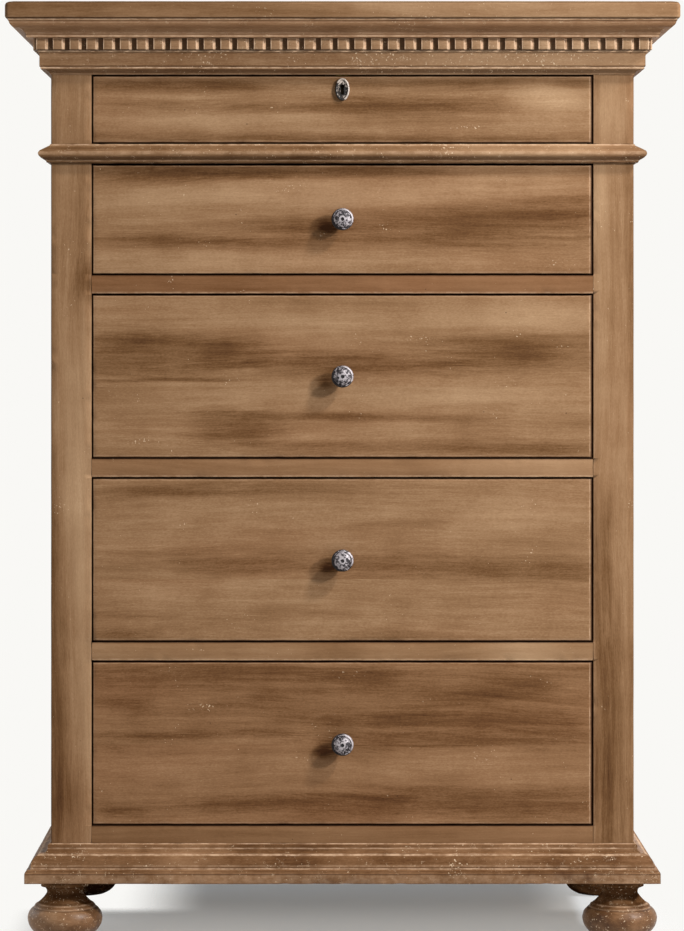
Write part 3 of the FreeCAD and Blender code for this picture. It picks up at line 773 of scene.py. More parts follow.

# Lines along the mouldings: height above the floor in millimetres, half the width, and how pale or dark.
# The pale ones are rubbed arrises, partly painted highlight; the dark ones are dark wax with painted shade
# under the arrises and in the hollows.
mouldingLines = {
    "crown_moulding": [(1321.2, 1.0, 0.85), (1319.0, 1.0, -0.30), (1316.7, 0.9, 0.25), (1308.7, 4.0, -0.15),
                       (1303.0, 1.0, 0.30), (1301.4, 0.8, -0.30), (1299.0, 1.3, 0.65)],
    # the frieze's pale top line, under the teeth, is a painted highlight where the teeth cast shade
    "frieze_moulding": [(1278.8, 1.5, 0.90), (1277.0, 1.0, -0.10), (1257.4, 0.8, -0.60), (1255.0, 1.0, 0.90),
                        (1250.8, 2.6, -0.42), (1246.9, 0.8, 0.25)],
    "waist_moulding": [(1144.6, 1.1, 0.50), (1139.8, 2.0, -0.14), (1132.4, 2.8, 0.24), (1125.0, 2.6, -0.50),
                       (1121.6, 0.9, 0.40), (1119.6, 0.7, -0.45), (1117.6, 0.9, -0.60)],
    "plinth_moulding": [(136.0, 1.1, 0.55), (133.2, 0.8, -0.25), (129.2, 1.1, 0.50), (125.4, 1.2, -0.14),
                        (121.8, 1.2, 0.65), (114.5, 6.5, -0.12), (107.2, 1.7, 0.22), (105.2, 0.6, -0.35),
                        (103.2, 1.1, 0.70), (100.0, 0.9, -0.35), (96.4, 1.1, -0.50), (89.5, 8.0, 0.20),
                        (82.8, 0.9, -0.40)],
    "dentil_strips": [(1296.2, 0.9, 0.60), (1280.6, 0.7, -0.45)],
}
mouldingTones = {   # how light, how warm and how stained each one is
    "crown_moulding": (0.13, 0.22, 0.5),
    "frieze_moulding": (0.02, 0.10, 0.5),
    "waist_moulding": (-0.03, 0.0, 0.6),
    "plinth_moulding": (-0.11, 0.15, 0.95),
    "dentil_strips": (0.19, 0.12, 0.4),
}
mouldingLook = dict(antiqued, shift=(5.2, 0.7, 0.1), bands=0.3, flecks=0.6, fleckLimit=0.755, scribbles=0.34)
dentils = {
    "backing": 0.021,
    "toothWidth": 0.0145,
    "pitch": 0.0241,
    "endMargin": 0.0015,
    "leftInset": 0.0094,
    "rightInset": 0.0015,
    "arris": 0.0015,
    "sharpAngle": 40,    # degrees; the bevel takes only arrises sharper than this
    "facing": 0.9,       # how squarely a face looks outwards to be drawn out into a tooth
    "wear": (1.4, 0.8),
}


def toothMiddles(start, end):
    width = dentils["toothWidth"]
    count = round((end - start - width) / dentils["pitch"])
    step = (end - start - width) / count
    return [start + width / 2 + index * step for index in range(count + 1)]


def toothRows():   # the middles of the teeth at the front, and at the left and right sides
    end = caseSide + dentils["backing"]
    corner = caseFront - dentils["backing"]
    margin = dentils["endMargin"]
    return {
        "front": toothMiddles(margin - end, end - margin),
        "left": toothMiddles(corner + dentils["leftInset"], caseBack - margin),
        "right": toothMiddles(corner + dentils["rightInset"], caseBack - margin),
    }


def mouldingWoods(node):   # the front length and the two sides have their grain along them
    lines = [("z", height / 1000, half / 1000, amount) for height, half, amount in mouldingLines[node]]
    light, warm, stain = mouldingTones[node]
    look = dict(mouldingLook, light=light, warm=warm, stain=stain)
    woods = {}
    for run, grain in (("front", "x"), ("left", "y"), ("right", "y")):
        if node == "dentil_strips":
            middles = toothRows()[run]
            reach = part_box(node)
            front = -reach[0].y if run == "front" else reach[1].x
            look["teeth"] = (grain, middles[0], middles[1] - middles[0], dentils["toothWidth"] / 2, front)
        if run == "right" and node != "dentil_strips":
            woods[run] = woods["left"]
        else:
            marks = marksAlong(node, runMarks) if run == "front" else ()
            scuffs = marksAlong(node, runScuffs) if run == "front" else ()
            woods[run] = wood(f"{node}_{run}_wood", grain, look, marks, scuffs, lines)
    return woods


mouldingWood = {node: mouldingWoods(node) for node in mouldingLines}
# dark bands just under the plinth, under the abacus and round the neck: painted shade; the pale and dark
# lines round the ring: rubbed wear with painted highlight and shade
footLines = [("z", 0.0498, 0.0014, -0.25), ("z", 0.0475, 0.0009, 0.35), ("z", 0.0455, 0.0008, -0.20),
             ("z", 0.0426, 0.0009, 0.30), ("z", 0.0412, 0.0009, -0.35), ("z", 0.0724, 0.0012, -0.60),
             ("z", 0.0800, 0.0032, -0.50), ("z", 0.0660, 0.0090, -0.40)]
footLook = dict(mouldingLook, shift=(6.4, 0.2, 0.8), light=-0.20, stain=1.5, fleckLimit=0.665, warm=0.12,
                roughness=(0.38, 0.50), sheen=0.20, unpolished=(0.038, 0.050))
footWood = wood("footWood", "x", footLook, (), (), footLines)
# the rear feet: the same wood painted much darker and without sheen, as painted shade
shadedRearFootLook = dict(footLook, light=-0.45, flecks=0.3, sheen=0.0, unpolished=None)
shadedRearFootWood = wood("shadedRearFootWood", "x", shadedRearFootLook, (), (), footLines)
bareWoodX = wood("bareWoodX", "x", dict(bare, shift=(7.1, 0.3, 0.2)))
bareWoodY = wood("bareWoodY", "y", dict(bare, shift=(7.9, 0.6, 0.4)))
plyPitch = 0.0024
flatLook = dict(bare, shift=(8.3, 0.2, 0.7), plies={"axis": 2, "pitch": plyPitch})
plywoodFlat = wood("plywoodFlat", "x", flatLook)
uprightLook = dict(bare, shift=(8.8, 0.5, 0.1), light=-0.15, plies={"axis": 1, "pitch": plyPitch})
plywoodUpright = wood("plywoodUpright", "z", uprightLook)


# Shades: from and to, in shares of the way out to the edge, and how much brighter there; the knob's dark edge
# all round is painted shade. Painted side light: the same, but only at one side, which two places across the
# piece give: a painted highlight towards the upper right and painted shade towards the lower left.
knobLook = {
    "blotches": 225.0,
    "dark": tone(22, 18, 20),
    "grey": tone(82, 76, 79),
    "bright": tone(160, 153, 155),
    "shades": [(0.84, 0.98, -0.12), (0.34, 0.28, 0.10), (0.19, 0.11, -0.60)],
    "paintedSideLight": [(0.76, 0.92, -0.10, -0.80, -0.30), (0.78, 0.88, 0.20, 0.90, 0.16)],
}
plateLook = {
    "blotches": 260.0,
    "dark": tone(12, 9, 7),
    "grey": tone(58, 48, 41),
    "bright": tone(176, 164, 154),
    "shades": [(0.74, 0.86, 0.08), (0.64, 0.40, -0.16)],
    "paintedSideLight": [(0.76, 0.86, -0.10, -0.70, -0.40)],
}
pewterDetail = {
    "blotches": (2.0, 0.6, 0.8),         # detail, roughness and distortion
    "grain": (1300.0, 2.0),
    "grainShare": 0.20,
    "raised": (0.50, 0.60, 0.0, 0.20),   # brighter on the relief's ridges
    "hollow": (0.49, 0.42, 0.0, 0.30),   # darker in its hollows
    "upwards": 0.6,                      # the lit side lies this much upwards for each part to the right
    "brightness": (0.49, 0.71),
    "greyAt": 0.45,
    "metallic": 0.3,
    "roughness": (0.64, 0.56),
    "bump": 0.5,
    "specular": 0.3,
}
metalDetail = {
    "patches": (140.0, 3.0, 0.6),
    "patchRange": (0.35, 0.70),
    "scratches": ((900.0, 900.0, 60.0), 2.0),
    "roughness": (0.3, 0.2),             # how much the scratches add, and to what
    "bump": 0.15,
    "specular": 0.5,
}


def pewter(name, look, node):   # cast, blackened, and rubbed bright again
    detail = pewterDetail
    low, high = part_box(node)
    half = (high - low) / 2
    material, tree, place = newMaterial(name)
    blotches = noise(tree, place, look["blotches"], *detail["blotches"])[0]
    grain = noise(tree, place, *detail["grain"])[0]
    pointiness = addNode(tree, "NewGeometry").outputs["Pointiness"]
    value = calc(tree, "MULTIPLY_ADD", grain, detail["grainShare"], blotches)
    value = calc(tree, "ADD", value, ramped(tree, pointiness, *detail["raised"]))
    value = calc(tree, "SUBTRACT", value, ramped(tree, pointiness, *detail["hollow"]))
    local, reach = inOval(tree, place, (low + high) / 2, (half.x, 1.0, half.z))
    for start, end, amount in look["shades"]:
        value = calc(tree, "ADD", value, ramped(tree, reach, start, end, 0.0, amount))
    across = addNode(tree, "SeparateXYZ", {0: local}).outputs
    towards = calc(tree, "MULTIPLY_ADD", across[2], detail["upwards"], across[0])
    # painted highlight on one side of the rim, painted shade on the other
    for inner, outer, start, end, amount in look["paintedSideLight"]:
        side = ramped(tree, towards, start, end, 0.0, amount)
        value = calc(tree, "MULTIPLY_ADD", ramped(tree, reach, inner, outer), side, value)
    bright = ramped(tree, value, *detail["brightness"])
    stops = [(0.0, look["dark"]), (detail["greyAt"], look["grey"]), (1.0, look["bright"])]
    colour = coloursOf(tree, bright, stops)
    metallic = calc(tree, "MULTIPLY", bright, detail["metallic"])
    roughness = ramped(tree, bright, 0.0, 1.0, *detail["roughness"])
    finishSurface(tree, colour, roughness, blotches, detail["bump"], metallic, detail["specular"])
    return material


def plainMetal(name, colour, dull):   # turned or pressed, with fine scratches and dull patches
    detail = metalDetail
    material, tree, place = newMaterial(name)
    patches = noise(tree, place, *detail["patches"])[0]
    scratches = noise(tree, place, *detail["scratches"])[0]
    shade = mixed(tree, ramped(tree, patches, *detail["patchRange"]), colour, dull)
    roughness = calc(tree, "MULTIPLY_ADD", scratches, *detail["roughness"])
    finishSurface(tree, shade, roughness, scratches, detail["bump"], 1.0, detail["specular"])
    return material


knobPewter = {number: pewter(f"knobPewter{number}", knobLook, f"drawer_{number}_knob")
              for number in drawerNumbers[1:]}
platePewter = pewter("platePewter", plateLook, "drawer_1_keyhole_plate")
steel = plainMetal("steel", tone(168, 168, 170), tone(112, 112, 114))
brass = plainMetal("brass", tone(196, 160, 88), tone(136, 104, 54))
blackenedBrass = plainMetal("blackenedBrass", tone(38, 31, 21), tone(16, 13, 10))
print("materials ready")


# Outlines: two numbers end a straight line and four are an arc through a point, in shares of the whole

def arcBetween(start, through, end, count):
    (ax, ay), (bx, by), (cx, cy) = start, through, end
    twist = 2 * (ax * (by - cy) + bx * (cy - ay) + cx * (ay - by))
    squares = [x * x + y * y for x, y in (start, through, end)]
    middleX = (squares[0] * (by - cy) + squares[1] * (cy - ay) + squares[2] * (ay - by)) / twist
    middleY = (squares[0] * (cx - bx) + squares[1] * (ax - cx) + squares[2] * (bx - ax)) / twist
    radius = math.hypot(ax - middleX, ay - middleY)
    first = math.atan2(ay - middleY, ax - middleX)
    last = math.atan2(cy - middleY, cx - middleX)
    turn = (last - first) % (2 * math.pi)
    if twist < 0:   # clockwise
        turn -= 2 * math.pi
    angles = [first + turn * step / count for step in range(1, count + 1)]
    return [(middleX + radius * math.cos(angle), middleY + radius * math.sin(angle)) for angle in angles]


def outlinePoints(shares, reach, rise, arcSteps):
    points = []
    for move in shares:
        end = (move[-2] * reach, move[-1] * rise)
        if len(move) == 4:
            points += arcBetween(points[-1], (move[0] * reach, move[1] * rise), end, arcSteps)
        else:
            points.append(end)
    return points


# Mouldings: three mitred lengths each

mouldings = {
    "cell": 0.011,
    "arris": 0.0007,
    "sharpAngle": 32,   # degrees; the bevel takes only arrises sharper than this
    "arcSteps": 7,
    "mitreGap": 0.0001,
    "plinth_moulding": [
        (0, 0), (1, 0), (1, 0.24), (0.957, 0.325, 0.85, 0.365), (0.76, 0.365), (0.653, 0.647, 0.394, 0.758),
        (0.31, 0.758), (0.18, 0.797, 0.127, 0.89), (0.127, 0.955), (0.04, 1), (0, 1),
    ],
    "waist_moulding": [
        (0, 0), (0.06, 0), (0.06, 0.05), (0.36, 0.05), (0.36, 0.17), (0.60, 0.21, 0.86, 0.33),
        (1.0, 0.50, 0.80, 0.684), (0.10, 0.93), (0.06, 1), (0, 1),
    ],
    "frieze_moulding": [
        (0, 0), (0.05, 0), (0.263, 0.146, 0.778, 0.206), (0.778, 0.30), (0.861, 0.30), (0.861, 0.91),
        (1, 0.91), (1, 1), (0, 1),
    ],
    "crown_moulding": [
        (0, 0), (0.579, 0), (0.596, 0.157), (0.658, 0.408, 0.807, 0.51), (0.931, 0.61, 0.982, 0.851),
        (1, 0.851), (1, 1), (0, 1),
    ],
}


def drawnRun(name, corners, axis, length):   # an outline drawn out, with cuts that let its length wander
    run = startOutline(name, corners)
    bpy.ops.mesh.edge_face_add()
    move = [0, 0, 0]
    move[axis] = length
    drawOut(move)
    faceOutwards()
    softened(run, mouldings["arris"], mouldings["sharpAngle"])
    bpy.ops.object.mode_set(mode="EDIT")
    ringCuts(mouldings["cell"], axis)
    return run


def makeMoulding(node):
    low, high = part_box(node)
    reach = caseFront - low.y
    spare = 2 * reach
    profile = outlinePoints(mouldings[node], reach, high.z - low.z, mouldings["arcSteps"])
    gap = mouldings["mitreGap"]
    runs = {}

    corners = [Vector((-caseSide - spare, caseFront - out, low.z + up)) for out, up in profile]
    runs["front"] = drawnRun(node + "_front", corners, 0, 2 * (caseSide + spare))
    for side in (1, -1):
        cutAway((side * (caseSide - gap), caseFront, 0), (side, 1, 0))

    corners = [Vector((caseSide + out, caseBack, low.z + up)) for out, up in profile]
    runs["right"] = drawnRun(node + "_right", corners, 1, caseFront - spare - caseBack)
    cutAway((caseSide + gap, caseFront, 0), (-1, -1, 0))
    runs["left"] = mirroredCopy(runs["right"], node + "_left")
    for name, run in runs.items():
        weather(run)
        handOver(run, "carcass", "moulding_wood", mouldingWood[node][name], node)


for node in ("plinth_moulding", "waist_moulding", "frieze_moulding", "crown_moulding"):
    makeMoulding(node)
print("mouldings ready")


# Dentils: a backing strip on each side of the case, from which the teeth are drawn out

def drawTeeth(strip, axis, name, outward):
    half = dentils["toothWidth"] / 2
    middles = toothRows()[name]
    normal = Vector((1, 0, 0)) if axis == 0 else Vector((0, 1, 0))
    for middle in middles:
        cutAcross(normal * (middle - half), normal)
        cutAcross(normal * (middle + half), normal)
    pick("FACE", lambda face: face.normal.dot(outward) > dentils["facing"]
         and any(abs(face.calc_center_median()[axis] - middle) < half for middle in middles))
    drawOut(outward * (caseFront - dentils["backing"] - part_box("dentil_strips")[0].y))
    faceOutwards()
    softened(strip, dentils["arris"], dentils["sharpAngle"])
    weather(strip, *dentils["wear"])
    handOver(strip, "carcass", "moulding_wood", mouldingWood["dentil_strips"][name], "dentil_strips")


def makeDentils():
    low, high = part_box("dentil_strips")
    end = caseSide + dentils["backing"]
    front = caseFront - dentils["backing"]
    strip = startBlock("dentils_front", (-end, front, low.z), (end, caseFront, high.z))
    for side in (1, -1):
        cutAway((side * caseSide, caseFront, 0), (side, 1, 0))
    drawTeeth(strip, 0, "front", Vector((0, -1, 0)))

    for name, side in sides:
        near, far = onSide(side, caseSide, end)
        strip = startBlock("dentils_" + name, (near, front, low.z), (far, caseBack, high.z))
        cutAway((side * caseSide, caseFront, 0), (-side, -1, 0))
        drawTeeth(strip, 1, name, Vector((side, 0, 0)))


makeDentils()
print("dentils ready")


# Top board

topBoard = {
    "cell": 0.013,
    "corner": (0.006, 6),      # a rounding's radius and steps
    "upper": (0.0055, 5),
    "lower": (0.003, 3),
    "wornEnds": 0.0012,
    "flatUnderside": 0.0005,   # the height that stays as it is
    "wear": (1.2, 1.0),
}


def makeTopBoard():
    low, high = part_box("top_board")
    board = startBlock("top_board_worn", low, high)
    ringCuts(topBoard["cell"], 0, 1)
    for end in (low.x, high.x):   # the upper face dips at its ends
        pick("EDGE", lambda edge: lies(edge, 2, high.z) and lies(edge, 0, end))
        bpy.ops.transform.translate(value=(0, 0, -topBoard["wornEnds"]))
    roundEdges(topBoard["corner"], lambda edge: lies(edge, 1, low.y) and lies(edge, 0, low.x, high.x))
    for rounding, level in ((topBoard["upper"], high.z), (topBoard["lower"], low.z)):
        roundEdges(rounding, lambda edge: isArris(edge) and not lies(edge, 1, high.y)
                   and all(abs(corner.co.z - level) < 2 * topBoard["wornEnds"] for corner in edge.verts))
    weather(board, *topBoard["wear"], lambda place: place.z > low.z + topBoard["flatUnderside"])
    handOver(board, "carcass", "top_wood", topWood, "top_board")


makeTopBoard()
print("top board ready")


# Posts and rails

framing = {
    "cell": 0.011,
    "outer": (0.0018, 3),   # roundings, as above
    "inner": (0.0011, 3),
    "rail": (0.0010, 3),
    "workedDepth": 0.004,   # the rails are worn this far behind their faces
}
drawerSpans = [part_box(f"drawer_{number}_front") for number in drawerNumbers]


def inAnOpening(edge):   # beside a drawer, where a post's inner arris is free
    z = (edge.verts[0].co.z + edge.verts[1].co.z) / 2
    return any(low.z - tiny < z < high.z + tiny for low, high in drawerSpans)


def makePosts():
    for node, front in (("corner_posts_front", True), ("corner_posts_rear", False)):
        low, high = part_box(node)
        yOuter = low.y if front else high.y
        for name, side in sides:
            near, far = onSide(side, postInner, caseSide)
            post = startBlock(f"{node}_{name}", (near, low.y, low.z), (far, high.y, high.z))
            ringCuts(framing["cell"], 0, 1, 2)
            for corner in (corner for span in drawerSpans for corner in span):
                cutAcross((0, 0, corner.z), (0, 0, 1))
            roundEdges(framing["outer"], lambda edge: lies(edge, 0, side * caseSide)
                       and lies(edge, 1, yOuter))
            if front:
                roundEdges(framing["inner"], lambda edge: lies(edge, 0, side * postInner)
                           and lies(edge, 1, yOuter) and inAnOpening(edge))
            weather(post)
            handOver(post, "carcass", "stile_wood", postWood, node)


def makeRails():
    for node, material in railWood.items():
        low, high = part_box(node)
        rail = startBlock(node + "_worn", (-postInner, low.y, low.z), (postInner, high.y, high.z))
        ringCuts(framing["cell"], 0, 1, 2)
        roundEdges(framing["rail"], lambda edge: lies(edge, 1, low.y) and lies(edge, 2, low.z, high.z))
        weather(rail, worked=lambda place: place.y < low.y + framing["workedDepth"])
        handOver(rail, "carcass", "rail_wood", material, node)


makePosts()
makeRails()
print("posts and front rails ready")


# Side frames: three rails between the posts on each side, and two panels

sideFrame = {
    "railThickness": 0.022,
    "margin": 0.044,         # of the lowest and highest rails past the plinth and the waist
    "middleHeight": 0.066,
    "panelRecess": 0.008,
    "panelThickness": 0.010,
    "cell": 0.012,
    "edge": (0.0025, 3),
}


def makeSideFrames():
    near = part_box("corner_posts_front")[1].y
    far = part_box("corner_posts_rear")[0].y
    base, top = [corner.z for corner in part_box("corner_posts_front")]
    middle = middleOf("rail_3_4").z
    half = sideFrame["middleHeight"] / 2
    spans = [
        (base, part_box("plinth_moulding")[1].z + sideFrame["margin"]),
        (middle - half, middle + half),
        (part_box("waist_moulding")[0].z - sideFrame["margin"], top),
    ]
    face = caseSide - sideFrame["panelRecess"]
    for name, side in sides:
        start, end = onSide(side, caseSide - sideFrame["railThickness"], caseSide)
        for number, (low, high) in enumerate(spans, 1):
            rail = startBlock(f"side_rail_{name}_{number}", (start, near, low), (end, far, high))
            ringCuts(sideFrame["cell"], 1, 2)
            free = [z for z in (low, high) if z not in (base, top)]
            roundEdges(sideFrame["edge"], lambda edge: lies(edge, 0, side * caseSide)
                       and lies(edge, 2, *free))
            weather(rail)
            handOver(rail, "carcass", "side_wood", sideRailWood, "side_rails")
        start, end = onSide(side, face, face - sideFrame["panelThickness"])
        for number, (below, above) in enumerate(zip(spans, spans[1:]), 1):
            panel = startBlock(f"side_panel_{name}_{number}", (start, near, below[1]), (end, far, above[0]))
            ringCuts(sideFrame["cell"], 1, 2)
            weather(panel)
            handOver(panel, "carcass", "side_wood", sidePanelWood, "side_panels_" + name)


makeSideFrames()
print("side frames ready")


# Bun feet: one outline turned once, and copied

bunFoot = {
    "steps": 72,
    "arcSteps": 9,
    "boltRadius": 0.004,
    "flatEnds": 0.001,   # the sole and the upper face stay as they are
    "wear": (1.5, 0.8),
    "outline": [
        (0, 0), (0.56, 0), (0.86, 0.10, 1, 0.315), (0.962, 0.42, 0.845, 0.508), (0.822, 0.513),
        (0.805, 0.546, 0.755, 0.574), (0.730, 0.580), (0.595, 0.661, 0.487, 0.757), (0.50, 0.82, 0.61, 0.87),
        (0.643, 0.875), (0.643, 1), (0, 1),
    ],
}


def turned(name, corners, centre, axis, steps):   # an outline spun into a closed solid
    piece = startOutline(name, corners)
    bpy.ops.mesh.spin(steps=steps, angle=2 * math.pi, center=centre, axis=axis)
    faceOutwards()
    return piece


def makeFeet():
    low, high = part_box("bun_feet")
    # A bolt stands in each foot's middle
    radius = high.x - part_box("foot_bolts")[1].x + bunFoot["boltRadius"]
    rise = high.z - low.z
    flat = bunFoot["flatEnds"]
    centreX, centreY = radius - high.x, low.y + radius
    places = {"front_left": (centreX, centreY), "front_right": (-centreX, centreY),
              "rear_left": (centreX, high.y - radius), "rear_right": (-centreX, high.y - radius)}
    points = outlinePoints(bunFoot["outline"], radius, rise, bunFoot["arcSteps"])
    corners = [Vector((centreX + out, centreY, up)) for out, up in points]
    first = turned("bun_foot_front_left", corners, (centreX, centreY, 0), (0, 0, 1), bunFoot["steps"])
    nothingSelected()
    feet = [first]
    for name, (placeX, placeY) in list(places.items())[1:]:
        feet.append(copyOf(first, "bun_foot_" + name, (placeX - centreX, placeY - centreY, 0)))
    for foot in feet:
        weather(foot, *bunFoot["wear"], lambda place: flat < place.z < rise - flat)
        material = footWood if "front" in foot.name else shadedRearFootWood
        handOver(foot, "carcass", "foot_wood", material, "bun_feet")


makeFeet()
print("feet ready")


# Drawer fronts, with sockets for the sides' dovetails and a groove for the bottom

drawerFront = {
    "cell": 0.0075,
    "edge": (0.0014, 3),
    "workedDepth": 0.0017,
    "socketSpare": 1.003,
    "cutterWeld": 0.000001,
    "lockWidth": 0.052,
    "lockEar": 0.002,
    "over": 0.001,          # the cutters reach this far past the wood
}


def cutterFrom(node):   # a closed copy of a node, to cut with
    cutter = duplicated(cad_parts[node], "cutter")
    for key in list(cutter.keys()):
        del cutter[key]
    cutter.parent = None
    bpy.ops.mesh.remove_doubles(threshold=drawerFront["cutterWeld"])
    bpy.ops.transform.resize(value=(drawerFront["socketSpare"], 1, 1), center_override=(0, 0, 0))
    nothingSelected()
    return cutter


keyhole = {"steps": 32, "headRadius": 0.0031, "height": 0.015, "slotWidth": 0.0038, "footWidth": 0.0050}


def keyholeCutters(nearY, farY):
    centreZ = middleOf("drawer_1_keyhole_plate").z
    headZ = centreZ + keyhole["height"] / 2 - keyhole["headRadius"]
    footZ = centreZ - keyhole["height"] / 2
    nothingSelected()
    bpy.ops.mesh.primitive_cylinder_add(vertices=keyhole["steps"], radius=keyhole["headRadius"],
                                        depth=farY - nearY, location=(0, (nearY + farY) / 2, headZ),
                                        rotation=(math.pi / 2, 0, 0))
    head = takeUp("keyholeHead")
    half = keyhole["slotWidth"] / 2
    slot = startBlock("keyholeSlot", (-half, nearY, footZ), (half, farY, headZ))
    pick("EDGE", lambda edge: lies(edge, 2, footZ))
    flare = keyhole["footWidth"] / keyhole["slotWidth"]
    bpy.ops.transform.resize(value=(flare, 1, 1), center_override=(0, 0, footZ))
    nothingSelected()
    return head, slot


def lockCutters(frontY):   # the room for the lock's case, for its ears, and the keyhole
    low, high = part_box("drawer_1_lock_case")
    half = drawerFront["lockWidth"] / 2
    over = drawerFront["over"]
    yield startBlock("lockRecess", (-half, low.y, low.z), (half, high.y + over, high.z + over))
    yield startBlock("earRecess", (low.x, high.y - drawerFront["lockEar"], low.z),
                     (high.x, high.y + over, high.z + over))
    yield from keyholeCutters(frontY - over, low.y + over)


def makeDrawerFronts():
    for number in drawerNumbers:
        node = f"drawer_{number}_front"
        low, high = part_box(node)
        faceY = low.y + drawerRecess
        front = startBlock(node + "_worn", (low.x, faceY, low.z), high)
        ringCuts(drawerFront["cell"], 0, 2)
        roundEdges(drawerFront["edge"], lambda edge: isArris(edge) and lies(edge, 1, faceY))
        weather(front, worked=lambda place: place.y < faceY + drawerFront["workedDepth"])
        for part in ("sides", "bottom"):
            cutOut(front, cutterFrom(f"drawer_{number}_{part}"))
        if number == 1:
            for cutter in lockCutters(low.y):
                cutOut(front, cutter)
        handOver(front, f"drawer_{number}", "drawer_front_wood", frontWood[number], node)


makeDrawerFronts()
print("drawer fronts ready")


# Knobs: turned once with a dished rim and a small dimple, and copied to each drawer

knob = {
    "steps": 64,
    "arcSteps": 8,
    "castScale": 0.0035,
    "castContrast": 1.6,
    "castDepth": 0.00035,
    "smoothAngle": 50,
    "outline": [
        (0, 0), (0.60, 0), (0.60, 0.08), (0.43, 0.16, 0.41, 0.34), (0.50, 0.42), (0.94, 0.47, 1, 0.64),
        (0.97, 0.75, 0.86, 0.81), (0.82, 0.79), (0.563, 0.934, 0.16, 1), (0.09, 0.95), (0, 0.95),
    ],
}
cast = clouds("cast", knob["castScale"], knob["castContrast"])


def makeKnobs():
    low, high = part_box("drawer_2_knob")
    middle = (low + high) / 2
    points = outlinePoints(knob["outline"], (high.x - low.x) / 2, high.y - low.y, knob["arcSteps"])
    corners = [Vector((out, high.y - forward, middle.z)) for out, forward in points]
    plain = turned("drawer_2_knob_cast", corners, (0, 0, middle.z), (0, 1, 0), knob["steps"])
    knobs = {2: plain}
    for number in drawerNumbers[2:]:
        rise = middleOf(f"drawer_{number}_knob").z - middle.z
        knobs[number] = copyOf(plain, f"drawer_{number}_knob_cast", (0, 0, rise))
    for number, piece in knobs.items():
        worn(piece, cast, knob["castDepth"])
        handOver(piece, f"drawer_{number}", "pewter", knobPewter[number], f"drawer_{number}_knob",
                 angle=knob["smoothAngle"])


makeKnobs()
print("knobs ready")


# Keyhole plate: an oval with a rounded rim round a shallow dish

plate = {
    "steps": 72,
    "rim": 0.0028,
    "smoothAngle": 50,
    "profile": [   # how far in from the edge in rims, and how far forward in thicknesses
        (0.00, 0.00), (0.00, 0.62), (0.10, 0.84), (0.32, 0.97), (0.55, 1.00), (0.76, 0.94), (0.92, 0.76),
        (1.00, 0.52), (1.25, 0.47), (1.90, 0.50),
    ],
}


def makePlate():
    low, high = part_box("drawer_1_keyhole_plate")
    middle = (low + high) / 2
    half = (high - low) / 2
    thickness = high.y - low.y
    rim = plate["rim"]
    nothingSelected()
    bpy.ops.mesh.primitive_circle_add(vertices=plate["steps"], radius=half.x, rotation=(math.pi / 2, 0, 0),
                                      location=(middle.x, high.y, middle.z))
    piece = takeUp("drawer_1_keyhole_plate_cast")
    selectAll()
    bpy.ops.transform.resize(value=(1, 1, half.z / half.x), center_override=middle)
    bpy.ops.mesh.edge_face_add()
    pick("EDGE", lambda edge: True)
    for (lastIn, lastForward), (inward, forward) in zip(plate["profile"], plate["profile"][1:]):
        move = (0, (lastForward - forward) * thickness, 0)
        bpy.ops.mesh.extrude_edges_move(TRANSFORM_OT_translate={"value": move})
        widths = [(half[axis] - inward * rim) / (half[axis] - lastIn * rim) for axis in (0, 2)]
        bpy.ops.transform.resize(value=(widths[0], 1, widths[1]), center_override=(middle.x, 0, middle.z))
    bpy.ops.mesh.edge_face_add()
    faceOutwards()
    nothingSelected()
    for cutter in keyholeCutters(low.y - thickness, high.y + thickness):
        cutOut(piece, cutter)
    handOver(piece, "drawer_1", "pewter", platePewter, "drawer_1_keyhole_plate", angle=plate["smoothAngle"])


makePlate()
print("keyhole plate ready")


# The pieces inside keep the frame's own shapes

def ofDrawers(part, numbers=drawerNumbers):
    return [f"drawer_{number}_{part}" for number in numbers]


innerFinish = (
    (railWood["rail_waist"], ["rail_top_front"]),
    (bareWoodX, ["rear_rails", "drawer_stops", "bottom_board", *ofDrawers("back")]),
    (bareWoodY, ["drawer_runners_left", "drawer_runners_right", *ofDrawers("sides")]),
    (plywoodFlat, ofDrawers("bottom")),
    (plywoodUpright, ["back_panel"]),
    (steel, ["foot_bolts", "back_screws", "drawer_1_lock_screws",
             *ofDrawers("knob_screw", drawerNumbers[1:])]),
    (brass, ["strike_plate", "lock_bolt"]),
    (blackenedBrass, ["drawer_1_lock_case"]),
)
for material, nodes in innerFinish:
    for node in nodes:
        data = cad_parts[node].data
        if len(data.materials):
            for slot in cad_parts[node].material_slots:
                slot.material = material
        else:
            data.materials.append(material)
print("inner pieces finished")


# Floor, light and camera

studio = {
    "floorSize": 9.0,
    "floorColour": tone(223, 231, 239),   # under the chest, where the wood's own light warms it
    "openColour": tone(220, 221, 221),    # out in the lamps' full light
    "openFront": (-0.16, -0.25),
    "openSides": (0.40, 0.47),
    "grain": (3.0, 3.0),
    "grainShare": 0.2,
    "grainColour": tone(222, 224, 227),
    "depth": (-0.14, 0.26),
    "solid": (0.67, 0.90),   # the floor's share over that depth, which fades into the white round it
    "sideFade": (0.40, 0.50),
    "frontFade": (0.25, 0.50),
    "backFade": (0.28, 0.60),
    "rearLeftFade": (0.20, 0.35),   # under the chest's back it fades sooner to the sides
    "rearRightFade": (0.27, 0.50),
    "rearFrom": (0.00, 0.07),
    "background": tone(249, 248, 245),
    "worldStrength": 0.11,
    "lamps": {   # where from: degrees to the right of the front, degrees up, metres away; watts and size
        "keyLow": (56, 24, 4.2, 187, 0.42),
        "keyHigh": (58, 43, 4.2, 166, 0.42),
        "fillLeft": (-60, 14, 4.5, 28, 2.4),
        "fillFarLeft": (-118, 12, 4.5, 40, 2.4),
        "fillRear": (172, 18, 4.5, 30, 2.4),
    },
    "target": (0, -0.1, 0.68),
}


def seenDirectly(tree):   # 1 for what the camera sees, in a reflection and through glass too
    path = addNode(tree, "LightPath").outputs
    others = calc(tree, "MAXIMUM", path["Is Glossy Ray"], path["Is Transmission Ray"])
    return calc(tree, "MAXIMUM", path["Is Camera Ray"], others)


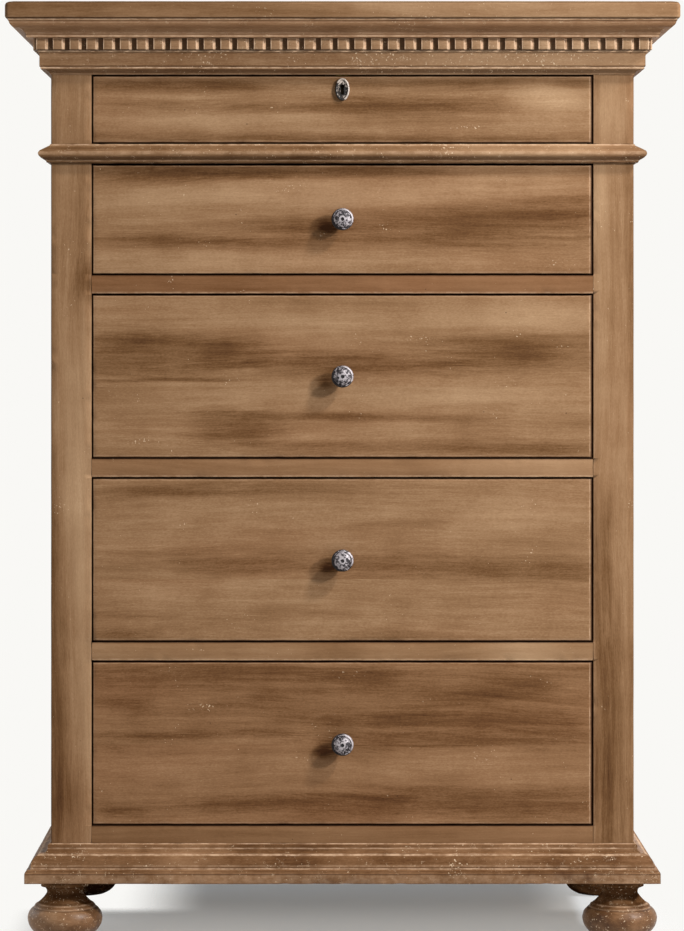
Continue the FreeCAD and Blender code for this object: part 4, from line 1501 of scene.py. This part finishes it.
def makeFloor():
    nothingSelected()
    bpy.ops.mesh.primitive_plane_add(size=studio["floorSize"], location=(0, 0, 0))
    floor = takeUp("floor")
    nothingSelected()
    material, tree, place = newMaterial("paleFloor")
    grain = calc(tree, "MULTIPLY", noise(tree, place, *studio["grain"])[0], studio["grainShare"])
    colour = mixed(tree, grain, studio["floorColour"], studio["grainColour"])
    split = addNode(tree, "SeparateXYZ", {0: place}).outputs
    aside = calc(tree, "ABSOLUTE", split[0])
    inTheOpen = calc(tree, "MAXIMUM", ramped(tree, split[1], *studio["openFront"]),
                     ramped(tree, aside, *studio["openSides"]))
    colour = mixed(tree, inTheOpen, colour, studio["openColour"])
    matt = addNode(tree, "BsdfDiffuse", {"Color": colour}).outputs[0]
    clear = addNode(tree, "BsdfTransparent").outputs[0]
    left = ramped(tree, calc(tree, "MULTIPLY", split[0], -1.0), *studio["rearLeftFade"])
    beside = calc(tree, "MAXIMUM", left, ramped(tree, split[0], *studio["rearRightFade"]))
    rear = calc(tree, "MULTIPLY", ramped(tree, split[1], *studio["rearFrom"]), beside)
    solid = calc(tree, "SUBTRACT", 1.0, rear)
    fades = {"sideFade": aside, "backFade": split[1], "frontFade": calc(tree, "MULTIPLY", split[1], -1.0)}
    for key, distance in fades.items():
        solid = calc(tree, "MULTIPLY", solid, ramped(tree, distance, *studio[key], 1.0, 0.0))
    most = ramped(tree, split[1], *studio["depth"], *studio["solid"])
    faded = calc(tree, "SUBTRACT", 1.0, calc(tree, "MULTIPLY", solid, most))
    share = calc(tree, "MULTIPLY", faded, seenDirectly(tree))
    surface = addNode(tree, "MixShader", {0: share, 1: matt, 2: clear}).outputs[0]
    addNode(tree, "OutputMaterial", {"Surface": surface})
    floor.data.materials.append(material)


def makeWorld():
    world = bpy.data.worlds.new("studio")
    bpy.context.scene.world = world
    world.use_nodes = True
    tree = world.node_tree
    tree.nodes.clear()
    strength = ramped(tree, seenDirectly(tree), 0.0, 1.0, studio["worldStrength"], 1.0)
    light = addNode(tree, "Background", {"Color": studio["background"], "Strength": strength}).outputs[0]
    addNode(tree, "OutputWorld", {"Surface": light})


def makeLamps():
    target = Vector(studio["target"])
    for name, (azimuth, elevation, distance, watts, size) in studio["lamps"].items():
        across, up = math.radians(azimuth), math.radians(elevation)
        way = Vector((math.sin(across) * math.cos(up), -math.cos(across) * math.cos(up), math.sin(up)))
        data = bpy.data.lights.new(name, "AREA")
        data.shape = "DISK"
        data.size = size
        data.energy = watts
        lamp = bpy.data.objects.new(name, data)
        bpy.context.scene.collection.objects.link(lamp)
        lamp.location = target + way * distance
        lamp.rotation_euler = (-way).to_track_quat("-Z", "Y").to_euler()


view = {   # pixels of the 684 by 931 picture: the middle of the view lies off the picture's middle
    "pictureWidth": 684,
    "pictureHeight": 931,
    "middleX": 323,
    "middleY": 335,
    "lensPixels": 3372,
    "sensor": 36,   # millimetres
    "x": -0.028,
    "z": 0.870,
    "distance": 4.870,
}


def makeCamera():
    data = bpy.data.cameras.new("camera")
    camera = bpy.data.objects.new("camera", data)
    bpy.context.scene.collection.objects.link(camera)
    tall = view["pictureHeight"]
    data.sensor_width = view["sensor"]
    data.lens = view["lensPixels"] / tall * data.sensor_width
    data.shift_x = (view["pictureWidth"] / 2 - view["middleX"]) / tall
    data.shift_y = (view["middleY"] - tall / 2) / tall
    camera.location = (view["x"], caseFront - view["distance"], view["z"])
    camera.rotation_euler = (math.pi / 2, 0, 0)
    bpy.context.scene.camera = camera


makeFloor()
makeWorld()
makeLamps()
makeCamera()
bpy.context.scene.view_settings.view_transform = "Standard"
print("studio ready")

nothingSelected()
